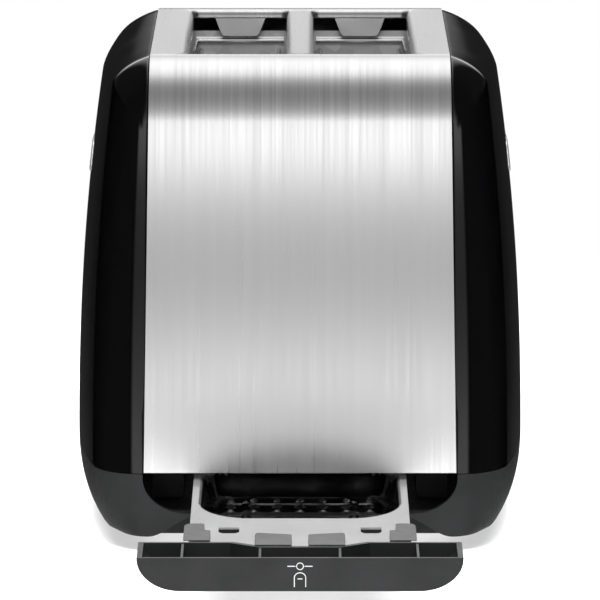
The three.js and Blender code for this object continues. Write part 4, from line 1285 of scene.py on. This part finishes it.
class Sums:
    """Short helpers for arithmetic nodes in a tree."""

    def __init__(self, tree):
        self.tree = tree

    def math(self, operation, a, b=None):
        node = self.tree.nodes.new("ShaderNodeMath")
        node.operation = operation
        for socket, value in zip(node.inputs, (a, b)):
            if isinstance(value, (int, float)):
                socket.default_value = value
            elif value is not None:
                self.tree.links.new(value, socket)
        return node.outputs[0]

    def fade(self, value, start, stop, low, high):
        node = self.tree.nodes.new("ShaderNodeMapRange")
        node.interpolation_type = "SMOOTHSTEP"
        self.tree.links.new(value, node.inputs["Value"])
        for name, number in (("From Min", start), ("From Max", stop), ("To Min", low), ("To Max", high)):
            node.inputs[name].default_value = number
        return node.outputs["Result"]

    def ramp(self, value, stops, start, stop, easing="LINEAR"):
        node = self.tree.nodes.new("ShaderNodeValToRGB")
        ramp = node.color_ramp
        ramp.interpolation = easing
        while len(ramp.elements) < len(stops):
            ramp.elements.new(0.5)
        for element, (place_at, level) in zip(ramp.elements, stops):
            element.position = (place_at - start) / (stop - start)
            element.color = (level / RAMP_SHARE, level / RAMP_SHARE, level / RAMP_SHARE, 1)
        share = self.math("DIVIDE", self.math("SUBTRACT", value, start), stop - start)
        self.tree.links.new(share, node.inputs["Fac"])
        return node.outputs["Color"]


# angle in degrees from the horizon ahead, over the zenith, to the horizon behind, and the light there
SKY = ((-90, 0.3), (-30, 0.4), (-9, 0.6), (-6.5, 1.2), (-1, 1.25), (5.5, 0.9), (16.5, 0.56), (27.5, 0.42),
       (39.5, 0.34), (50.5, 0.31), (63.5, 0.36), (76.5, 0.58), (91.5, 1.1), (107.5, 1.25), (127, 1.15),
       (150, 0.7), (157, 0.5), (164, 0.62), (168, 1.0), (171, 0.95), (174, 0.2), (177, 0.01), (188, 0.01),
       (197, 0.12), (208, 0.5), (270, 0.35))
# height in millimetres up the card ahead of the end face, and its light
CARD_PEAK = 1.7
CARD = ((-60, 1.0), (-12, 1.5), (-2, 1.45), (10, 1.35), (22, 1.15), (34, 0.92), (46, 0.76), (58, 0.6),
        (70, 0.48), (82, 0.43), (92, 0.44), (102, 0.48), (112, 0.55), (120, 0.72), (127, 1.0), (134, 1.45),
        (141, CARD_PEAK), (160, CARD_PEAK))
SKY_LEVEL = 1.65
CARD_LEVEL = 1.5
RAMP_SHARE = 2  # levels stand this many times smaller in a ramp, and are brought back where it is used


def studio():
    """White to the camera; to reflections, soft bands by height, dark at the sides and paler below."""
    world = bpy.data.worlds.new("studio")
    bpy.context.scene.world = world
    world.use_nodes = True
    tree = world.node_tree
    new, link = tree.nodes.new, tree.links.new
    background = tree.nodes["Background"]
    split = new("ShaderNodeSeparateXYZ")
    link(new("ShaderNodeTexCoord").outputs["Generated"], split.inputs[0])
    sums = Sums(tree)
    forward = sums.math("MULTIPLY", split.outputs["Y"], -1.0)
    fold = sums.math("MULTIPLY", sums.math("ARCTAN2", split.outputs["Z"], forward), 180 / math.pi)
    behind = sums.math("MULTIPLY", sums.math("LESS_THAN", fold, -90.0), 360.0)
    bands = sums.ramp(sums.math("ADD", fold, behind), SKY, -90, 270)
    aside = sums.math("ABSOLUTE", split.outputs["X"])
    light = sums.math("MULTIPLY", bands, sums.fade(aside, 0.16, 0.36, SKY_LEVEL * RAMP_SHARE, 0.08))
    bounce = sums.fade(split.outputs["Z"], -0.32, -0.17, 0.75, 0.0)
    light = sums.math("MAXIMUM", light, bounce)
    mixed = new("ShaderNodeMix")
    mixed.data_type = "FLOAT"
    link(new("ShaderNodeLightPath").outputs["Is Camera Ray"], mixed.inputs["Factor"])
    link(light, mixed.inputs[2])
    mixed.inputs[3].default_value = 1.0
    link(mixed.outputs[0], background.inputs["Strength"])
    background.inputs["Color"].default_value = (1, 1, 1, 1)


def flat_piece(name, corners):
    mesh = bpy.data.meshes.new(name)
    mesh.from_pydata(corners, [], [tuple(range(len(corners)))])
    thing = linked(name, mesh)
    return thing


def light_card():
    """A soft white card ahead of the end face, seen only in reflections, brighter towards its top."""
    y = cover_low.y - CARD_AHEAD * MM
    card = flat_piece("light_card", [(-0.3, y, -0.06), (0.3, y, -0.06), (0.3, y, 0.146), (-0.3, y, 0.146)])
    for kind in ("camera", "diffuse", "shadow", "transmission"):
        setattr(card, f"visible_{kind}", False)
    look = Look("light_card", (0, 0, 0), 1.0, specular=0.0)
    split = look.node("ShaderNodeSeparateXYZ")
    look.link(look.place, split.inputs[0])
    sums = Sums(look.tree)
    height = sums.math("MULTIPLY", split.outputs["Z"], 1 / MM)
    level = sums.ramp(height, [(z, v / CARD_PEAK) for z, v in CARD], CARD[0][0], CARD[-1][0])
    brightest = CARD_PEAK * RAMP_SHARE * CARD_LEVEL
    width = sums.fade(sums.math("ABSOLUTE", split.outputs["X"]), 0.18, 0.25, brightest, 0.0)
    look.link(sums.math("MULTIPLY", level, width), look.shader.inputs["Emission Strength"])
    look.shader.inputs["Emission Color"].default_value = (1, 1, 1, 1)
    card.data.materials.append(look.material)
    return card


FLOOR_RADIUS = 0.9  # metres


def floor_piece():
    around = arc(0, 0, FLOOR_RADIUS, FLOOR_RADIUS, 0, 360, 96)[:-1]
    floor = flat_piece("floor", [(x, y, -0.0002) for x, y in around])
    floor.visible_glossy = False
    look = Look("pale_floor", (0.86, 0.86, 0.86), 0.6, specular=0.2)
    look.tint(look.noise(30, detail=5), (0.84, 0.84, 0.84), (0.88, 0.88, 0.88))
    tree = look.tree
    clear = tree.nodes.new("ShaderNodeBsdfTransparent")
    mix = tree.nodes.new("ShaderNodeMixShader")
    length = tree.nodes.new("ShaderNodeVectorMath")
    length.operation = "LENGTH"
    look.link(look.place, length.inputs[0])
    look.link(look.spread(length.outputs["Value"], 0.0, 1.0, 0.42, 0.85), mix.inputs["Fac"])
    look.link(look.shader.outputs[0], mix.inputs[1])
    look.link(clear.outputs[0], mix.inputs[2])
    look.link(mix.outputs[0], tree.nodes["Material Output"].inputs["Surface"])
    floor.data.materials.append(look.material)
    return floor


def lamp(name, location, target, size, power, receivers=None, blockers=None):
    data = bpy.data.lights.new(name, "AREA")
    data.shape = "RECTANGLE"
    data.size, data.size_y = size
    data.energy = power
    thing = linked(name, data)
    thing.location = location
    thing.rotation_euler = (Vector(target) - Vector(location)).to_track_quat("-Z", "Y").to_euler()
    thing.visible_camera = False
    for kind, pieces in (("receiver", receivers), ("blocker", blockers)):
        if pieces:
            group = bpy.data.collections.new(f"{name}_{kind}")
            for piece in pieces:
                group.objects.link(piece)
            setattr(thing.light_linking, f"{kind}_collection", group)
    return thing


camera()
studio()
light_card()
floor = floor_piece()
over_floor = ((0, -0.2, 2.4), (0, 0, 0), (3.0, 3.0))  # place, aim and size
lamp("floor_fill", *over_floor, 115, receivers=[floor], blockers=[floor])
top_light = lamp("top_light", (0, -1.0, 1.9), (0, 0, 0.15), (1.0, 0.7), 44)
top_light.visible_glossy = False
lamp("floor_light", *over_floor, 50, receivers=[floor])
dress_nodes()
for hand in (-1, 1):
    side_shell(hand)
    badge(hand)
    corner_clip(hand)
    centre_clip(hand)
base_tub()
steel_cover()
slot_trim()
rear_flanges()
tray_front()
tray_hooks()
press_icon()
tray_pan()
for guide_name in ("left_outer", "left_inner", "right_inner", "right_outer"):
    toast_guide(guide_name)
spring()
lever_knob()
browning_dial()
dial_marks()
control_fascia()
for number in range(1, 5):
    push_button(number)
    foot(number)
base_screws()

bpy.context.scene.view_settings.view_transform = "Standard"
